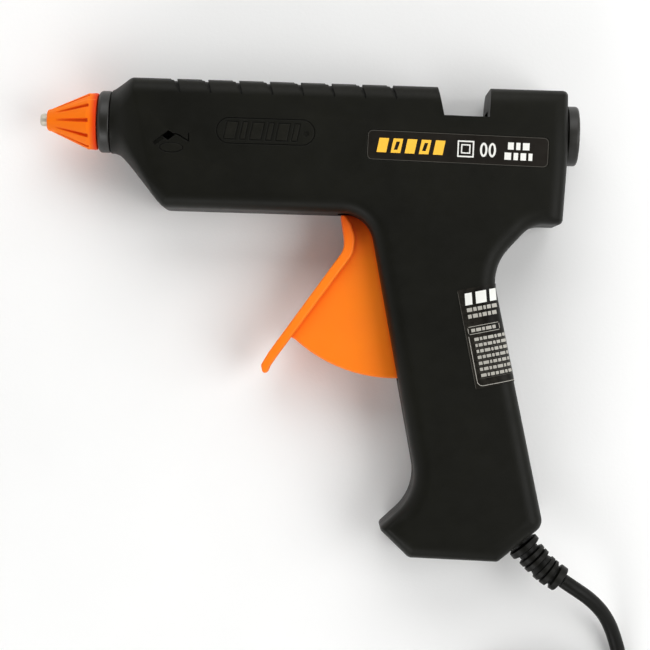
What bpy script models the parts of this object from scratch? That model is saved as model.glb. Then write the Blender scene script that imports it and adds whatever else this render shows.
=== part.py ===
"""Hot-melt glue gun, lying on its right side.

The frame has +X to the rear, +Y to the gun's top and +Z out of its left side, in metres. The origin is the
bottom centre of the box around the gun without its cord. Dimensions are in millimetres, and MM turns them
into metres where a mesh is made.
"""
import math

import bmesh
import bpy
from mathutils import Matrix, Vector

MM = 0.001
WELD = 1e-7
GAP = 0.3

# Housing
WIDTH = 34.0
MID = WIDTH / 2
HALF = WIDTH / 2
WALL = 2.2
EDGE_ROUND = 5.5
EDGE_STEPS = 3
ARC_STEP = 20.0
SPLIT_GAP = 0.3
COLLAR_R = 11.4
FRONT_X = -73.4
REAR_X = 93.9
TOP_Y = 86.1
BARREL_Y = 39.1
BARREL_MID_Y = 62.6
NOSE_STEPS = 5
NOSE_CUTTER_SPREAD = (8, 3)
NOSE_CUTTER_LEAD = 2.0
NOSE_CUTTER_END_X = 130.0

# Corners of the side view as (x, y, fillet radius), anticlockwise. The nose form trims it in front.
SIDE_VIEW = [
    (-64.9, TOP_Y, 1.0),
    (-84.0, 80.0, 0.0),
    (-84.0, 58.0, 0.0),
    (-71.0, 58.0, 3.5),
    (-52.9, BARREL_Y, 3.4),
    (22.1, 39.2, 12.0),
    (43.3, -61.7, 18.5),
    (29.2, -75.2, 1.5),
    (40.4, -85.5, 3.0),
    (72.9, -86.1, 2.0),
    (89.1, -72.4, 5.0),
    (67.2, 21.0, 18.0),
    (81.6, 37.2, 3.0),
    (92.7, 37.2, 2.0),
    (REAR_X, 63.0, 0.0),
    (93.3, TOP_Y, 2.0),
]

# Rings of the nose, from its round front to the full body at the slanting crease, as
# (x and y of the top, x and y of the bottom, half width, corner radius)
NOSE_RINGS = [
    (FRONT_X, 82.3, FRONT_X, 59.1, 11.6, 11.6),
    (-72.1, 82.9, -71.6, 58.9, 12.0, 11.4),
    (-70.6, 83.7, -69.2, 57.6, 12.9, 10.6),
    (-68.2, 84.8, -64.2, 52.3, 14.9, 8.5),
    (-65.0, 86.15, -52.95, 38.95, 17.05, 5.5),
]

# Stick channel and melting end, all turned about the stick's axis
STICK_Y = 70.7
STICK_BORE_R = 6.2
CHAMBER_R = 9.0
NECK_R = 6.6
TIP_X = -100.0
TIP_R = 2.4

# Sight notch in the top of the housing
NOTCH = [(45.2, TOP_Y + 2), (48.2, 75.4), (64.6, 75.2), (65.1, TOP_Y + 2)]
NOTCH_WALLS = [(43.2, 90.0), (46.0, 73.0), (66.6, 73.0), (67.2, 90.0)]
NOTCH_LANE = 12.0

# Trigger
PIVOT = (32.2, 33.8)
PIVOT_PIN_R = 2.0
WEB_THICK = 8.0
BLADE_WIDE = 16.0
ARM_THICK = 6.0
SECTOR_R = 54.5
SECTOR_FROM = 229.4
SECTOR_TO = 282.0
DRIVE_PIN = (38.8, 60.3)
DRIVE_PIN_R = 1.6
FORK_BOTTOM_R = 24.0
FORK_TIP_R = 30.0
SLOT_WIDE = 9.0

# Feed carriage and jaw
CARRIAGE_FROM = 23.0
CARRIAGE_TO = 43.5
JAW_PIVOT = (40.5, 80.7)
JAW_PIN_R = 1.0

# Return spring
SPRING_Y = 57.3
SPRING_BAR_X = 49.8
SPRING_POST_X = 80.0
SPRING_BAR_R = 1.2
SPRING_POST_R = 1.5

# Screws, from the right side
SCREWS = [(-46, 46), (-5, 46), (84, 46), (4, 79.6), (61, 9), (69, -32), (44, -74)]
BOSS_R = 3.2

# Cord: the boot leaves the rear lower chamfer. Its spine is given from BOOT_AT, and its profile as
# (distance along the spine, radius)
CORD_R = 2.7
BOOT_AT = (81.6, -78.8)
BOOT_ANGLE = -49.8
BOOT_SPINE = [(0.0, 0.0), (2.2, -2.6), (6.0, -6.7), (10.8, -11.2), (15.0, -13.9), (18.2, -16.2)]
BOOT_PROFILE = [(-4.8, 4.9), (-3.3, 4.9), (-3.3, 3.5), (0.35, 3.5), (0.35, 4.4), (2.3, 4.4), (2.3, 6.0)]
BOOT_PROFILE += [(4.6, 6.0), (4.6, 4.0), (6.7, 4.0), (6.7, 5.5), (11.3, 5.3), (11.3, 4.0), (13.3, 3.9)]
BOOT_PROFILE += [(13.3, 5.15)]
BOOT_PROFILE += [(17.9, 5.0), (17.9, 3.8), (19.3, 3.7), (19.3, 5.0), (21.6, 4.8), (22.0, 2.9)]
CLAMP_BACK = 11.0
CLAMP_POST_OUT = 6.2
TAIL_LONG = 22.0
WIRE_R = 0.9

# The cord's route on the ground, as (x, y, z), from the boot to the coil
CORD_ROUTE = [
    (98.1, -93.8, 17.0),
    (102.0, -96.7, 16.8),
    (107.6, -100.3, 14.9),
    (112.7, -104.6, 11.8),
    (116.8, -110.0, 8.2),
    (120.0, -116.5, 5.2),
    (122.3, -124.0, 3.4),
    (123.6, -132.0, 2.9),
    (124.3, -140.0, 2.8),
    (124.45, -146.0, 2.8),
]
COIL_AT = (85.6, -168.0)
COIL_OUTER_R = 41.9
COIL_INNER_R = 19.4
COIL_HIGH = 11.2
COIL_LAST_R = 38.9
PLUG_ROUTE = [(-21.7, 8.0), (-25.0, 7.6), (-30.0, 7.2)]
PLUG_TAIL_X = -30.3
PLUG_BODY_FROM = -44.0
PLUG_BODY_LONG = 32.0
PLUG_HIGH = 14.0
PLUG_PIN_LONG = 19.0
PLUG_PIN_SPACING = 19.0

FINISHES = {
    "body": ((0.013, 0.013, 0.010), 0.55, 0.0),
    "gloss": ((0.010, 0.010, 0.009), 0.2, 0.0),
    "orange": ((0.95, 0.21, 0.02), 0.45, 0.0),
    "trigger": ((1.0, 0.21, 0.015), 0.35, 0.0),
    "steel": ((0.55, 0.54, 0.50), 0.3, 1.0),
    "brass": ((0.70, 0.50, 0.22), 0.35, 1.0),
    "aluminium": ((0.62, 0.62, 0.62), 0.5, 1.0),
    "silicone": ((0.75, 0.72, 0.66), 0.5, 0.0),
    "ceramic": ((0.80, 0.79, 0.74), 0.7, 0.0),
    "amber": ((0.55, 0.25, 0.04), 0.4, 0.0),
    "rubber": ((0.008, 0.008, 0.007), 0.6, 0.0),
    "label": ((0.012, 0.011, 0.009), 0.35, 0.0),
    "brown_wire": ((0.12, 0.04, 0.015), 0.5, 0.0),
    "blue_wire": ((0.02, 0.08, 0.35), 0.5, 0.0),
    "nylon": ((0.60, 0.59, 0.55), 0.5, 0.0),
}


def clear_scene():
    for obj in list(bpy.data.objects):
        bpy.data.objects.remove(obj, do_unlink=True)


def new_collection(name):
    collection = bpy.data.collections.new(name)
    bpy.context.scene.collection.children.link(collection)
    return collection


clear_scene()
PARTS = new_collection("glue_gun")
CUTTERS = new_collection("cutters")


def make_material(name, finish):
    colour, roughness, metallic = FINISHES[finish]
    material = bpy.data.materials.new(name)
    material.use_nodes = True
    shader = material.node_tree.nodes["Principled BSDF"]
    shader.inputs["Base Color"].default_value = (*colour, 1.0)
    shader.inputs["Roughness"].default_value = roughness
    shader.inputs["Metallic"].default_value = metallic
    material.diffuse_color = (*colour, 1.0)
    return material


def add_object(name, data, finish=None):
    """A part with its own material, or a cutter when it has no finish."""
    obj = bpy.data.objects.new(name, data)
    if finish is None:
        CUTTERS.objects.link(obj)
        obj.hide_render = True
        obj.display_type = "WIRE"
    else:
        PARTS.objects.link(obj)
        data.materials.clear()
        data.materials.append(make_material(name, finish))
    return obj


def weld(mesh):
    """Close a mesh whose caps or seams are loose, and turn its faces outwards."""
    body = bmesh.new()
    body.from_mesh(mesh)
    bmesh.ops.remove_doubles(body, verts=body.verts, dist=WELD)
    bmesh.ops.dissolve_degenerate(body, edges=body.edges, dist=WELD)
    bmesh.ops.recalc_face_normals(body, faces=body.faces)
    body.to_mesh(mesh)
    body.free()
    mesh.set_sharp_from_angle(angle=math.radians(35))
    return mesh


def baked(obj):
    """Replace a curve or an object with modifiers by its own evaluated, welded mesh, in world space."""
    depsgraph = bpy.context.evaluated_depsgraph_get()
    mesh = bpy.data.meshes.new_from_object(obj.evaluated_get(depsgraph))
    mesh.transform(obj.matrix_world)
    bpy.data.objects.remove(obj, do_unlink=True)
    return weld(mesh)


def move_origin(obj, place):
    """Put an object's origin on its joint's axis without moving its surface."""
    offset = Vector(place) * MM
    obj.data.transform(Matrix.Translation(-offset))
    obj.location = offset


def boolean(target, operand, operation="DIFFERENCE"):
    modifier = target.modifiers.new(operation.lower(), "BOOLEAN")
    modifier.operation = operation
    modifier.object = operand
    return target


def finished(obj, name, finish):
    """Bake a working object's Booleans into a part."""
    bpy.context.view_layer.update()
    return add_object(name, baked(obj), finish)


def flat_curve(outline, low, high):
    """A filled outline of (x, y) points, extruded from low to high along Z."""
    curve = bpy.data.curves.new("outline", "CURVE")
    curve.dimensions = "2D"
    curve.fill_mode = "BOTH"
    curve.extrude = (high - low) / 2 * MM
    spline = curve.splines.new("POLY")
    spline.points.add(len(outline) - 1)
    for point, (x, y) in zip(spline.points, outline):
        point.co = (x * MM, y * MM, 0, 1)
    spline.use_cyclic_u = True
    return curve


def extruded(name, outline, low, high, finish=None):
    obj = bpy.data.objects.new(name, flat_curve(outline, low, high))
    CUTTERS.objects.link(obj)
    obj.location.z = (low + high) / 2 * MM
    bpy.context.view_layer.update()
    return add_object(name, baked(obj), finish)


def box(name, x, y, z, finish=None, turn=0.0, at=(0, 0)):
    """A box from (low, high) pairs, turned about Z at a point when a turn is given."""
    body = bmesh.new()
    bmesh.ops.create_cube(body, size=1.0)
    size = Vector((x[1] - x[0], y[1] - y[0], z[1] - z[0])) * MM
    centre = Vector((x[1] + x[0], y[1] + y[0], z[1] + z[0])) * MM / 2
    bmesh.ops.scale(body, vec=size, verts=body.verts)
    bmesh.ops.translate(body, vec=centre, verts=body.verts)
    spin = Matrix.Rotation(math.radians(turn), 3, "Z")
    bmesh.ops.rotate(body, verts=body.verts, cent=(0, 0, 0), matrix=spin)
    bmesh.ops.translate(body, vec=Vector((at[0], at[1], 0)) * MM, verts=body.verts)
    mesh = bpy.data.meshes.new(name)
    body.to_mesh(mesh)
    body.free()
    return add_object(name, mesh, finish)


def turned(name, outer, bore=None, at=(0, STICK_Y, MID), along=(1, 0, 0), steps=24, finish=None):
    """A profile of (height, radius) turned about an axis: its outer side from the top down, then its bore."""
    profile = list(outer)
    if bore:
        profile += list(bore)
    else:
        profile = [(outer[0][0], 0.0)] + profile + [(outer[-1][0], 0.0)]
    mesh = bpy.data.meshes.new(name)
    points = [(radius * MM, 0, height * MM) for height, radius in profile]
    edges = [(i, i + 1) for i in range(len(points) - 1)]
    if bore:
        edges.append((len(points) - 1, 0))
    mesh.from_pydata(points, edges, [])
    obj = bpy.data.objects.new(name, mesh)
    CUTTERS.objects.link(obj)
    screw = obj.modifiers.new("turn", "SCREW")
    screw.steps = steps
    screw.render_steps = steps
    screw.use_merge_vertices = True
    screw.merge_threshold = 1e-6
    obj.rotation_mode = "QUATERNION"
    obj.rotation_quaternion = Vector(along).to_track_quat("Z", "Y")
    obj.location = Vector(at) * MM
    bpy.context.view_layer.update()
    return add_object(name, baked(obj), finish)


def cylinder(name, radius, low, high, at=(0, STICK_Y, MID), along=(1, 0, 0), steps=24, finish=None):
    return turned(name, [(high, radius), (low, radius)], None, at, along, steps, finish)


def pin(name, radius, low, high, x, y, steps=12, finish=None):
    """A cylinder along Z."""
    return cylinder(name, radius, low, high, (x, y, 0), (0, 0, 1), steps, finish)


def wire(name, points, radius, finish, resolution=2):
    """A round wire or cord along a list of (x, y, z) points."""
    curve = bpy.data.curves.new(name, "CURVE")
    curve.dimensions = "3D"
    curve.bevel_depth = radius * MM
    curve.bevel_resolution = resolution
    curve.use_fill_caps = True
    spline = curve.splines.new("POLY")
    spline.points.add(len(points) - 1)
    for point, place in zip(spline.points, points):
        point.co = (*(Vector(place) * MM), 1)
    obj = bpy.data.objects.new(name, curve)
    CUTTERS.objects.link(obj)
    bpy.context.view_layer.update()
    return add_object(name, baked(obj), finish)


def smooth_route(points, per_span):
    """Points on the smooth curve (Catmull-Rom) through a route's own points."""
    knots = [Vector(p) for p in points]
    knots = [2 * knots[0] - knots[1]] + knots + [2 * knots[-1] - knots[-2]]
    found = []
    for before, start, end, after in zip(knots, knots[1:], knots[2:], knots[3:]):
        for step in range(per_span):
            t = step / per_span
            bend = 2 * before - 5 * start + 4 * end - after
            twist = 3 * start - before - 3 * end + after
            found.append(start + 0.5 * (t * (end - before) + t * t * bend + t ** 3 * twist))
    return found + [knots[-2]]


def filleted(corners, inset=0.0, arc_step=ARC_STEP):
    """The outline of an anticlockwise (x, y, radius) polygon, moved inwards by inset.

    Each corner gives the same number of points whatever the inset, so that two outlines can be lofted.
    """
    count = len(corners)
    places = [Vector((x, y)) for x, y, _ in corners]
    ways = [(places[(i + 1) % count] - places[i]).normalized() for i in range(count)]
    outline = []
    for i, (_, _, radius) in enumerate(corners):
        into, out = ways[i - 1], ways[i]
        turn = math.atan2(into.cross(out), into.dot(out))
        left = Vector((-into.y, into.x))
        corner = places[i] + inset * (left + into * -math.tan(turn / 2))
        if radius == 0:
            outline.append(tuple(corner))
            continue
        side = 1 if turn > 0 else -1
        bend = max(radius - side * inset, 0.0)
        start = corner - into * bend * math.tan(abs(turn) / 2)
        centre = start + left * side * bend
        steps = max(2, math.ceil(abs(math.degrees(turn)) / arc_step))
        for step in range(steps + 1):
            spoke = Matrix.Rotation(turn * step / steps, 2) @ (start - centre)
            outline.append(tuple(centre + spoke))
    return outline


def loft(name, rings, finish=None):
    """A closed solid through rings of (x, y, z) points, all with the same number of points."""
    body = bmesh.new()
    layers = [[body.verts.new(Vector(p) * MM) for p in ring] for ring in rings]
    count = len(rings[0])
    for lower, upper in zip(layers, layers[1:]):
        for i in range(count):
            j = (i + 1) % count
            body.faces.new((lower[i], lower[j], upper[j], upper[i]))
    body.faces.new(list(reversed(layers[0])))
    body.faces.new(layers[-1])
    mesh = bpy.data.meshes.new(name)
    body.to_mesh(mesh)
    body.free()
    return add_object(name, weld(mesh), finish)


def height(side, up):
    """The Z of a point that lies `up` from the middle plane, on the left (1) or right (-1) half."""
    return MID + side * up


def rounded_slab(name, side, start, reach, inset, rounding):
    """The side view from `start` to `reach` above the middle plane, its far edge rounded."""
    rings = [[(x, y, height(side, start)) for x, y in filleted(SIDE_VIEW, inset)]]
    for step in range(EDGE_STEPS + 1):
        angle = math.radians(90 * step / EDGE_STEPS)
        up = reach - rounding * (1 - math.sin(angle))
        outline = filleted(SIDE_VIEW, inset + rounding * (1 - math.cos(angle)))
        rings.append([(x, y, height(side, up)) for x, y in outline])
    return loft(name, rings)


def nose_form(name, inset):
    """The nose, which grows from a round front to the full body behind the slanting crease.

    Its last two rings lie outside the body, so that only the nose is trimmed by it.
    """
    rings = []
    for top_x, top_y, low_x, low_y, half_wide, corner in NOSE_RINGS:
        top, low = Vector((top_x + inset, top_y - inset)), Vector((low_x + inset, low_y + inset))
        middle, half_high = (top + low) / 2, (top - low).length / 2
        up = (top - low).normalized()
        bend = min(corner - inset, half_high, half_wide - inset)
        ring = []
        for quarter in range(4):
            side_z = (1, -1, -1, 1)[quarter]
            side_y = (1, 1, -1, -1)[quarter]
            centre = middle + up * side_y * (half_high - bend)
            for step in range(NOSE_STEPS + 1):
                angle = math.radians(90 * (quarter + step / NOSE_STEPS))
                place = centre + up * bend * math.sin(angle)
                z = MID + side_z * (half_wide - inset - bend) + bend * math.cos(angle)
                ring.append((place.x, place.y, z))
        rings.append(ring)
    up, out = NOSE_CUTTER_SPREAD
    wide = []
    for x, y, z in rings[-1]:
        wide.append((x + NOSE_CUTTER_LEAD, BARREL_MID_Y + (y - BARREL_MID_Y) * up, MID + (z - MID) * out))
    rings.append(wide)
    rings.append([(NOSE_CUTTER_END_X, y, z) for _, y, z in wide])
    return loft(name, rings)


def along_cord(s, side=0.0):
    """The (x, y) at s from the chamfer face along the boot's axis, and `side` across it."""
    angle = math.radians(BOOT_ANGLE)
    u = Vector((math.cos(angle), math.sin(angle)))
    v = Vector((-u.y, u.x))
    place = Vector(BOOT_AT) + u * s + v * side
    return place.x, place.y


def cord_way():
    angle = math.radians(BOOT_ANGLE)
    return (math.cos(angle), math.sin(angle), 0)


def shared_cutters():
    """Cutters that both halves use."""
    web_slot = [(10.9, 34.0), (20.0, -21.6), (48.0, -21.6), (36.0, 43.0), (10.9, 43.0)]
    lane = NOTCH_LANE / 2
    web = SLOT_WIDE / 2
    return [
        extruded("notch_cut", NOTCH, -2, WIDTH + 2),
        box("notch_lane", (43.0, 67.5), (72.0, 78.5), (MID - lane, MID + lane)),
        extruded("trigger_slot", web_slot, MID - web, MID + web),
        cylinder("front_hole", 8.0, -80, -66),
        cylinder("rear_hole", 9.4, 88, 100),
        cylinder("stick_lane", STICK_BORE_R + 0.4, 40, 70),
        cylinder("chamber_seat", CHAMBER_R + GAP, -66, -22),
        cylinder("guide_seat", 9.0 + GAP, 66.7, 96),
        cylinder("boot_hole", 3.8, -6, 6, (*BOOT_AT, MID), cord_way(), 16),
        pin("trigger_pin_hole", PIVOT_PIN_R + GAP, 2.7, 31.3, *PIVOT),
        pin("post_hole", SPRING_POST_R + GAP, 3.7, 30.3, SPRING_POST_X, SPRING_Y),
    ]


def tower(name, side, radius, start, x, y, reach=15.5):
    """A round boss that stands on the side wall, with its end `start` from the middle plane."""
    low, high = sorted((height(side, start), height(side, reach)))
    return pin(name, radius, low, high, x, y, 14)


def inner_ribs(tag, side):
    """Cradles around the stick's axis and rails under the carriage."""
    ribs = []
    for number, x in enumerate((-62.0, -29.0, 69.0, 87.0)):
        low, high = sorted((height(side, 0.6), height(side, 15.5)))
        ribs.append(box(f"cradle_{tag}_{number}", (x - 1, x + 1), (61.7, 84.2), (low, high)))
    low, high = sorted((height(side, 8.0), height(side, 15.5)))
    ribs.append(box(f"rail_{tag}", (5, 45), (54.6, 56.6), (low, high)))
    return ribs


def housing_half(name, side, cutters):
    tag = "left" if side > 0 else "right"
    shell = rounded_slab(f"shell_{tag}", side, SPLIT_GAP / 2, HALF, 0.0, EDGE_ROUND)
    cavity = rounded_slab(f"cavity_{tag}", side, -1.0, HALF - WALL, WALL, EDGE_ROUND - WALL)
    boolean(shell, nose_form(f"nose_{tag}", 0.0), "INTERSECT")
    boolean(cavity, nose_form(f"inner_nose_{tag}", WALL), "INTERSECT")
    boolean(cavity, extruded(f"notch_walls_{tag}", NOTCH_WALLS, -2, WIDTH + 2))
    boolean(shell, cavity)
    for number, (x, y) in enumerate(SCREWS):
        boolean(shell, tower(f"boss_{tag}_{number}", side, BOSS_R, SPLIT_GAP / 2, x, y), "UNION")
    boolean(shell, tower(f"pivot_boss_{tag}", side, 4.6, 4.8, *PIVOT), "UNION")
    boolean(shell, tower(f"post_boss_{tag}", side, 3.2, 8.0, SPRING_POST_X, SPRING_Y), "UNION")
    for rib in inner_ribs(tag, side):
        boolean(shell, rib, "UNION")
    for cutter in cutters:
        boolean(shell, cutter)
    return shell


def housing():
    cutters = shared_cutters()
    left = housing_half("housing_left", 1, cutters)
    right = housing_half("housing_right", -1, cutters)
    for number, (x, y) in enumerate(SCREWS):
        boolean(left, pin(f"pilot_{number}", 1.65, 16, 28.5, x, y))
        boolean(right, pin(f"clearance_{number}", 1.65, -1, 18, x, y))
        boolean(right, pin(f"head_recess_{number}", 3.0, -1, 4.2, x, y, 14))
    for number, out in enumerate((-CLAMP_POST_OUT, CLAMP_POST_OUT)):
        x, y = along_cord(-CLAMP_BACK, out)
        boolean(right, pin(f"clamp_post_{number}", 2.5, 1.5, 19.7, x, y), "UNION")
        boolean(right, pin(f"clamp_pilot_{number}", 1.65, 9.0, 21, x, y))
    boolean(left, extruded("plate_recess", filleted(plate_corners(0.0)), 33.1, 36))
    finished(left, "housing_left", "body")
    finished(right, "housing_right", "body")


def plate_corners(inset):
    """The side plate's rounded rectangle, which slopes down slightly to the rear."""
    centre, half_long, half_high, radius = Vector((53.5, 63.4)), 32.9, 5.5, 2.0
    tilt = Matrix.Rotation(math.radians(-0.9), 2)
    corners = []
    for x, y in ((-1, -1), (1, -1), (1, 1), (-1, 1)):
        place = centre + tilt @ Vector((x * (half_long - inset), y * (half_high - inset)))
        corners.append((place.x, place.y, radius - inset))
    return corners


def labels():
    extruded("name_plate", filleted(plate_corners(GAP), 0, 30), 33.4, 33.9, "label")
    region = [(54.7, 12.1), (62.6, -23.5), (92.0, -16.6), (85.0, 18.7)]
    patch = rounded_slab("patch", 1, 4.0, HALF + 0.6, -0.6, EDGE_ROUND + 0.6)
    boolean(patch, rounded_slab("patch_under", 1, 0.0, HALF + 0.3, -0.3, EDGE_ROUND + 0.3))
    boolean(patch, extruded("patch_region", region, 0, WIDTH + 4), "INTERSECT")
    finished(patch, "rating_label", "label")


def front_end():
    turned(
        "front_collar",
        [(-73.7, COLLAR_R), (-77.0, COLLAR_R), (-78.2, 10.3)],
        [(-78.2, 7.2), (-73.7, 7.2)],
        steps=28,
        finish="gloss",
    )
    turned(
        "nozzle",
        [(-80.3, 8.2), (-82.5, 8.2), (-95.5, 2.7), (-96.5, TIP_R), (-99.6, TIP_R), (TIP_X, 2.0)],
        [(TIP_X, 0.8), (-89.6, 0.8), (-89.3, 2.9), (-80.3, 2.9)],
        steps=20,
        finish="brass",
    )
    turned(
        "nozzle_sleeve",
        [(-78.5, 9.9), (-78.9, 10.5), (-82.2, 10.3), (-95.9, 4.3), (-97.0, 4.0), (-97.4, 3.4)],
        [(-97.4, 2.75), (-96.3, 2.75), (-95.3, 3.1), (-82.4, 8.5), (-78.5, 8.5)],
        steps=24,
        finish="orange",
    )
    turned(
        "front_insulator",
        [(-68.3, 8.8), (-70.8, 8.8)],
        [(-70.8, NECK_R + GAP), (-68.3, NECK_R + GAP)],
        finish="ceramic",
    )


def check_valve():
    mesh = bpy.data.meshes.new("check_ball")
    body = bmesh.new()
    bmesh.ops.create_uvsphere(body, u_segments=12, v_segments=8, radius=2.5 * MM)
    body.to_mesh(mesh)
    body.free()
    ball = add_object("check_ball", mesh, "steel")
    ball.location = Vector((-82.1, STICK_Y, MID)) * MM
    turns, per_turn, radius = 4, 8, 2.2
    coil = []
    for step in range(turns * per_turn + 1):
        angle = 2 * math.pi * step / per_turn
        x = -84.1 - 4.8 * step / (turns * per_turn)
        coil.append((x, STICK_Y + radius * math.cos(angle), MID + radius * math.sin(angle)))
    wire("check_spring", coil, 0.3, "steel", 1)


def melting_chamber():
    chamber = turned(
        "chamber_body",
        [(-22.3, 8.0), (-27.0, 8.0), (-27.0, CHAMBER_R), (-66.0, CHAMBER_R), (-67.5, NECK_R)]
        + [(-80.0, NECK_R)],
        [(-80.0, 1.8), (-76.0, 1.8), (-70.0, 4.5), (-64.0, 6.0), (-22.3, 6.2)],
        steps=20,
    )
    boolean(chamber, box("heater_block", (-57.5, -31.5), (50.5, 63.2), (8.5, 25.5)), "UNION")
    boolean(chamber, box("heater_pocket", (-55.5, -30.5), (53.2, 59.4), (10.4, 23.6)))
    finished(chamber, "heating_chamber", "aluminium")
    tube = box("insulator_body", (-55.0, -31.0), (53.5, 59.1), (10.7, 23.3))
    boolean(tube, box("insulator_hole", (-57.5, -27.5), (53.9, 58.7), (11.1, 22.9)))
    finished(tube, "heater_insulator", "amber")
    box("heater_electrode_1", (-54.5, -27.5), (57.9, 58.4), (12.5, 21.5), "brass")
    box("ptc_heater", (-53.5, -33.5), (55.1, 57.5), (12.5, 21.5), "ceramic")
    box("heater_electrode_2", (-54.5, -27.5), (54.3, 54.8), (12.5, 21.5), "brass")


def stick_channel():
    turned(
        "feed_throat",
        [(-2.0, 7.0), (-4.0, 8.0), (-22.0, 8.0)],
        [(-22.0, 5.8), (-4.0, 5.8), (-2.0, 6.3)],
        finish="silicone",
    )
    turned("throat_clamp", [(-16.5, 9.1), (-19.5, 9.1)], [(-19.5, 8.3), (-16.5, 8.3)], finish="steel")
    turned(
        "stick_inlet_guide",
        [(97.8, 11.0), (94.2, 11.0), (94.2, 9.0), (67.0, 9.0)],
        [(67.0, 7.4), (69.5, STICK_BORE_R), (94.2, STICK_BORE_R), (98.1, 8.2), (98.3, 8.8), (98.3, 10.5)],
        steps=28,
        finish="gloss",
    )


def blade_outline():
    front = [(11.9, 38.7), (12.9, 33.5), (13.9, 28.3), (13.7, 26.0), (12.2, 23.6), (-13.3, -12.5)]
    tip = [(-15.2, -17.0), (-14.9, -19.3), (-13.6, -19.7), (-12.4, -18.0)]
    rear = [(-9.4, -13.6), (17.2, 24.4), (17.5, 27.5), (17.3, 31.0), (16.2, 34.6), (13.6, 38.4)]
    return front + tip + rear


def web_outline():
    outline = [(12.2, 39.6), (13.6, 35.0), (15.6, 28.0), (14.7, 23.6), (-5.9, -6.2)]
    for step in range(9):
        angle = math.radians(SECTOR_FROM + (SECTOR_TO - SECTOR_FROM) * step / 8)
        outline.append((PIVOT[0] + SECTOR_R * math.cos(angle), PIVOT[1] + SECTOR_R * math.sin(angle)))
    return outline + [(39.0, 33.0), (38.0, 39.6)]


def arm_point(r, across):
    """A point at r from the pivot along the line to the drive pin, and `across` it."""
    way = (Vector(DRIVE_PIN) - Vector(PIVOT)).normalized()
    side = Vector((way.y, -way.x))
    place = Vector(PIVOT) + way * r + side * across
    return place.x, place.y


def trigger():
    web, blade, arm = WEB_THICK / 2, BLADE_WIDE / 2, ARM_THICK / 2
    lever = extruded("web", web_outline(), MID - web, MID + web)
    rim = extruded("rim", blade_outline(), MID - blade, MID + blade)
    fork = [arm_point(-2, -4.5), arm_point(-2, 4.5), arm_point(FORK_TIP_R, 4.8), arm_point(FORK_TIP_R, -4.8)]
    boolean(lever, rim, "UNION")
    boolean(lever, extruded("fork_arm", fork, MID - arm, MID + arm), "UNION")
    half = DRIVE_PIN_R + 0.5
    slot = [(FORK_BOTTOM_R, -half), (FORK_BOTTOM_R, half), (35, half), (35, -half)]
    boolean(lever, extruded("fork_slot", [arm_point(r, s) for r, s in slot], 0, WIDTH))
    boolean(lever, pin("hub_bore", PIVOT_PIN_R + GAP, 5, 30, *PIVOT))
    part = finished(lever, "trigger", "trigger")
    move_origin(part, (*PIVOT, MID))
    pin("trigger_pin", PIVOT_PIN_R, 3.0, 31.0, *PIVOT, 16, "steel")


def feed_carriage():
    width = (8.4, 25.6)
    slide = box("slide_body", (CARRIAGE_FROM, CARRIAGE_TO), (57.0, 78.2), width)
    boolean(slide, box("slide_tail", (43.0, 46.8), (57.0, 66.0), width), "UNION")
    for number, low in enumerate((10.7, 21.3)):
        ear = box(f"spring_ear_{number}", (46.0, 51.6), (55.4, 59.4), (low, low + 2.0))
        boolean(slide, ear, "UNION")
    boolean(slide, pin("spring_bar", SPRING_BAR_R, 11, 23, SPRING_BAR_X, SPRING_Y, 12), "UNION")
    for number, low in enumerate((8.6, 23.0)):
        ear = [(36.8, 77.8), (43.2, 77.8), (43.2, 81.3), (41.8, 83.0), (39.2, 83.0), (37.6, 81.3)]
        boolean(slide, extruded(f"jaw_ear_{number}", ear, low, low + 2.4), "UNION")
    boolean(slide, cylinder("carriage_bore", STICK_BORE_R + 0.1, 20, 50))
    boolean(slide, box("arm_lane", (20, 45.0), (50, 68), (MID - 3.5, MID + 3.5)))
    boolean(slide, box("tail_lane", (42.0, 48.0), (60.5, 80), (MID - 6.3, MID + 6.3)))
    boolean(slide, box("jaw_window", (25.0, 39.3), (72, 82), (MID - 4.5, MID + 4.5)))
    boolean(slide, pin("drive_pin_hole", DRIVE_PIN_R + GAP, 0, 34, *DRIVE_PIN))
    boolean(slide, pin("jaw_pin_hole", JAW_PIN_R + GAP, 0, 34, *JAW_PIVOT))
    finished(slide, "feed_carriage", "nylon")
    pin("drive_pin", DRIVE_PIN_R, 8.7, 25.3, *DRIVE_PIN, 16, "steel")


def stick_jaw():
    outline = [(42.8, 79.0), (42.8, 82.0), (38.0, 82.3), (30.0, 82.0), (27.6, 80.7), (27.2, 78.6)]
    outline += [(28.4, 77.3), (29.6, 78.8), (30.8, 77.4), (32.4, 79.0), (38.6, 78.8)]
    jaw = extruded("jaw_body", outline, MID - 4.0, MID + 4.0)
    boolean(jaw, pin("jaw_bore", JAW_PIN_R + GAP, 5, 30, *JAW_PIVOT))
    part = finished(jaw, "stick_jaw", "steel")
    move_origin(part, (*JAW_PIVOT, MID))
    pin("jaw_pin", JAW_PIN_R, 8.7, 25.3, *JAW_PIVOT, 12, "steel")
    turns, per_turn, radius = 2, 8, 1.7
    coil = []
    for step in range(turns * per_turn + 1):
        angle = 2 * math.pi * step / per_turn
        z = 21.3 + 1.4 * step / (turns * per_turn)
        coil.append((JAW_PIVOT[0] + radius * math.cos(angle), JAW_PIVOT[1] + radius * math.sin(angle), z))
    wire("jaw_spring", coil, 0.22, "steel", 1)


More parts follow.
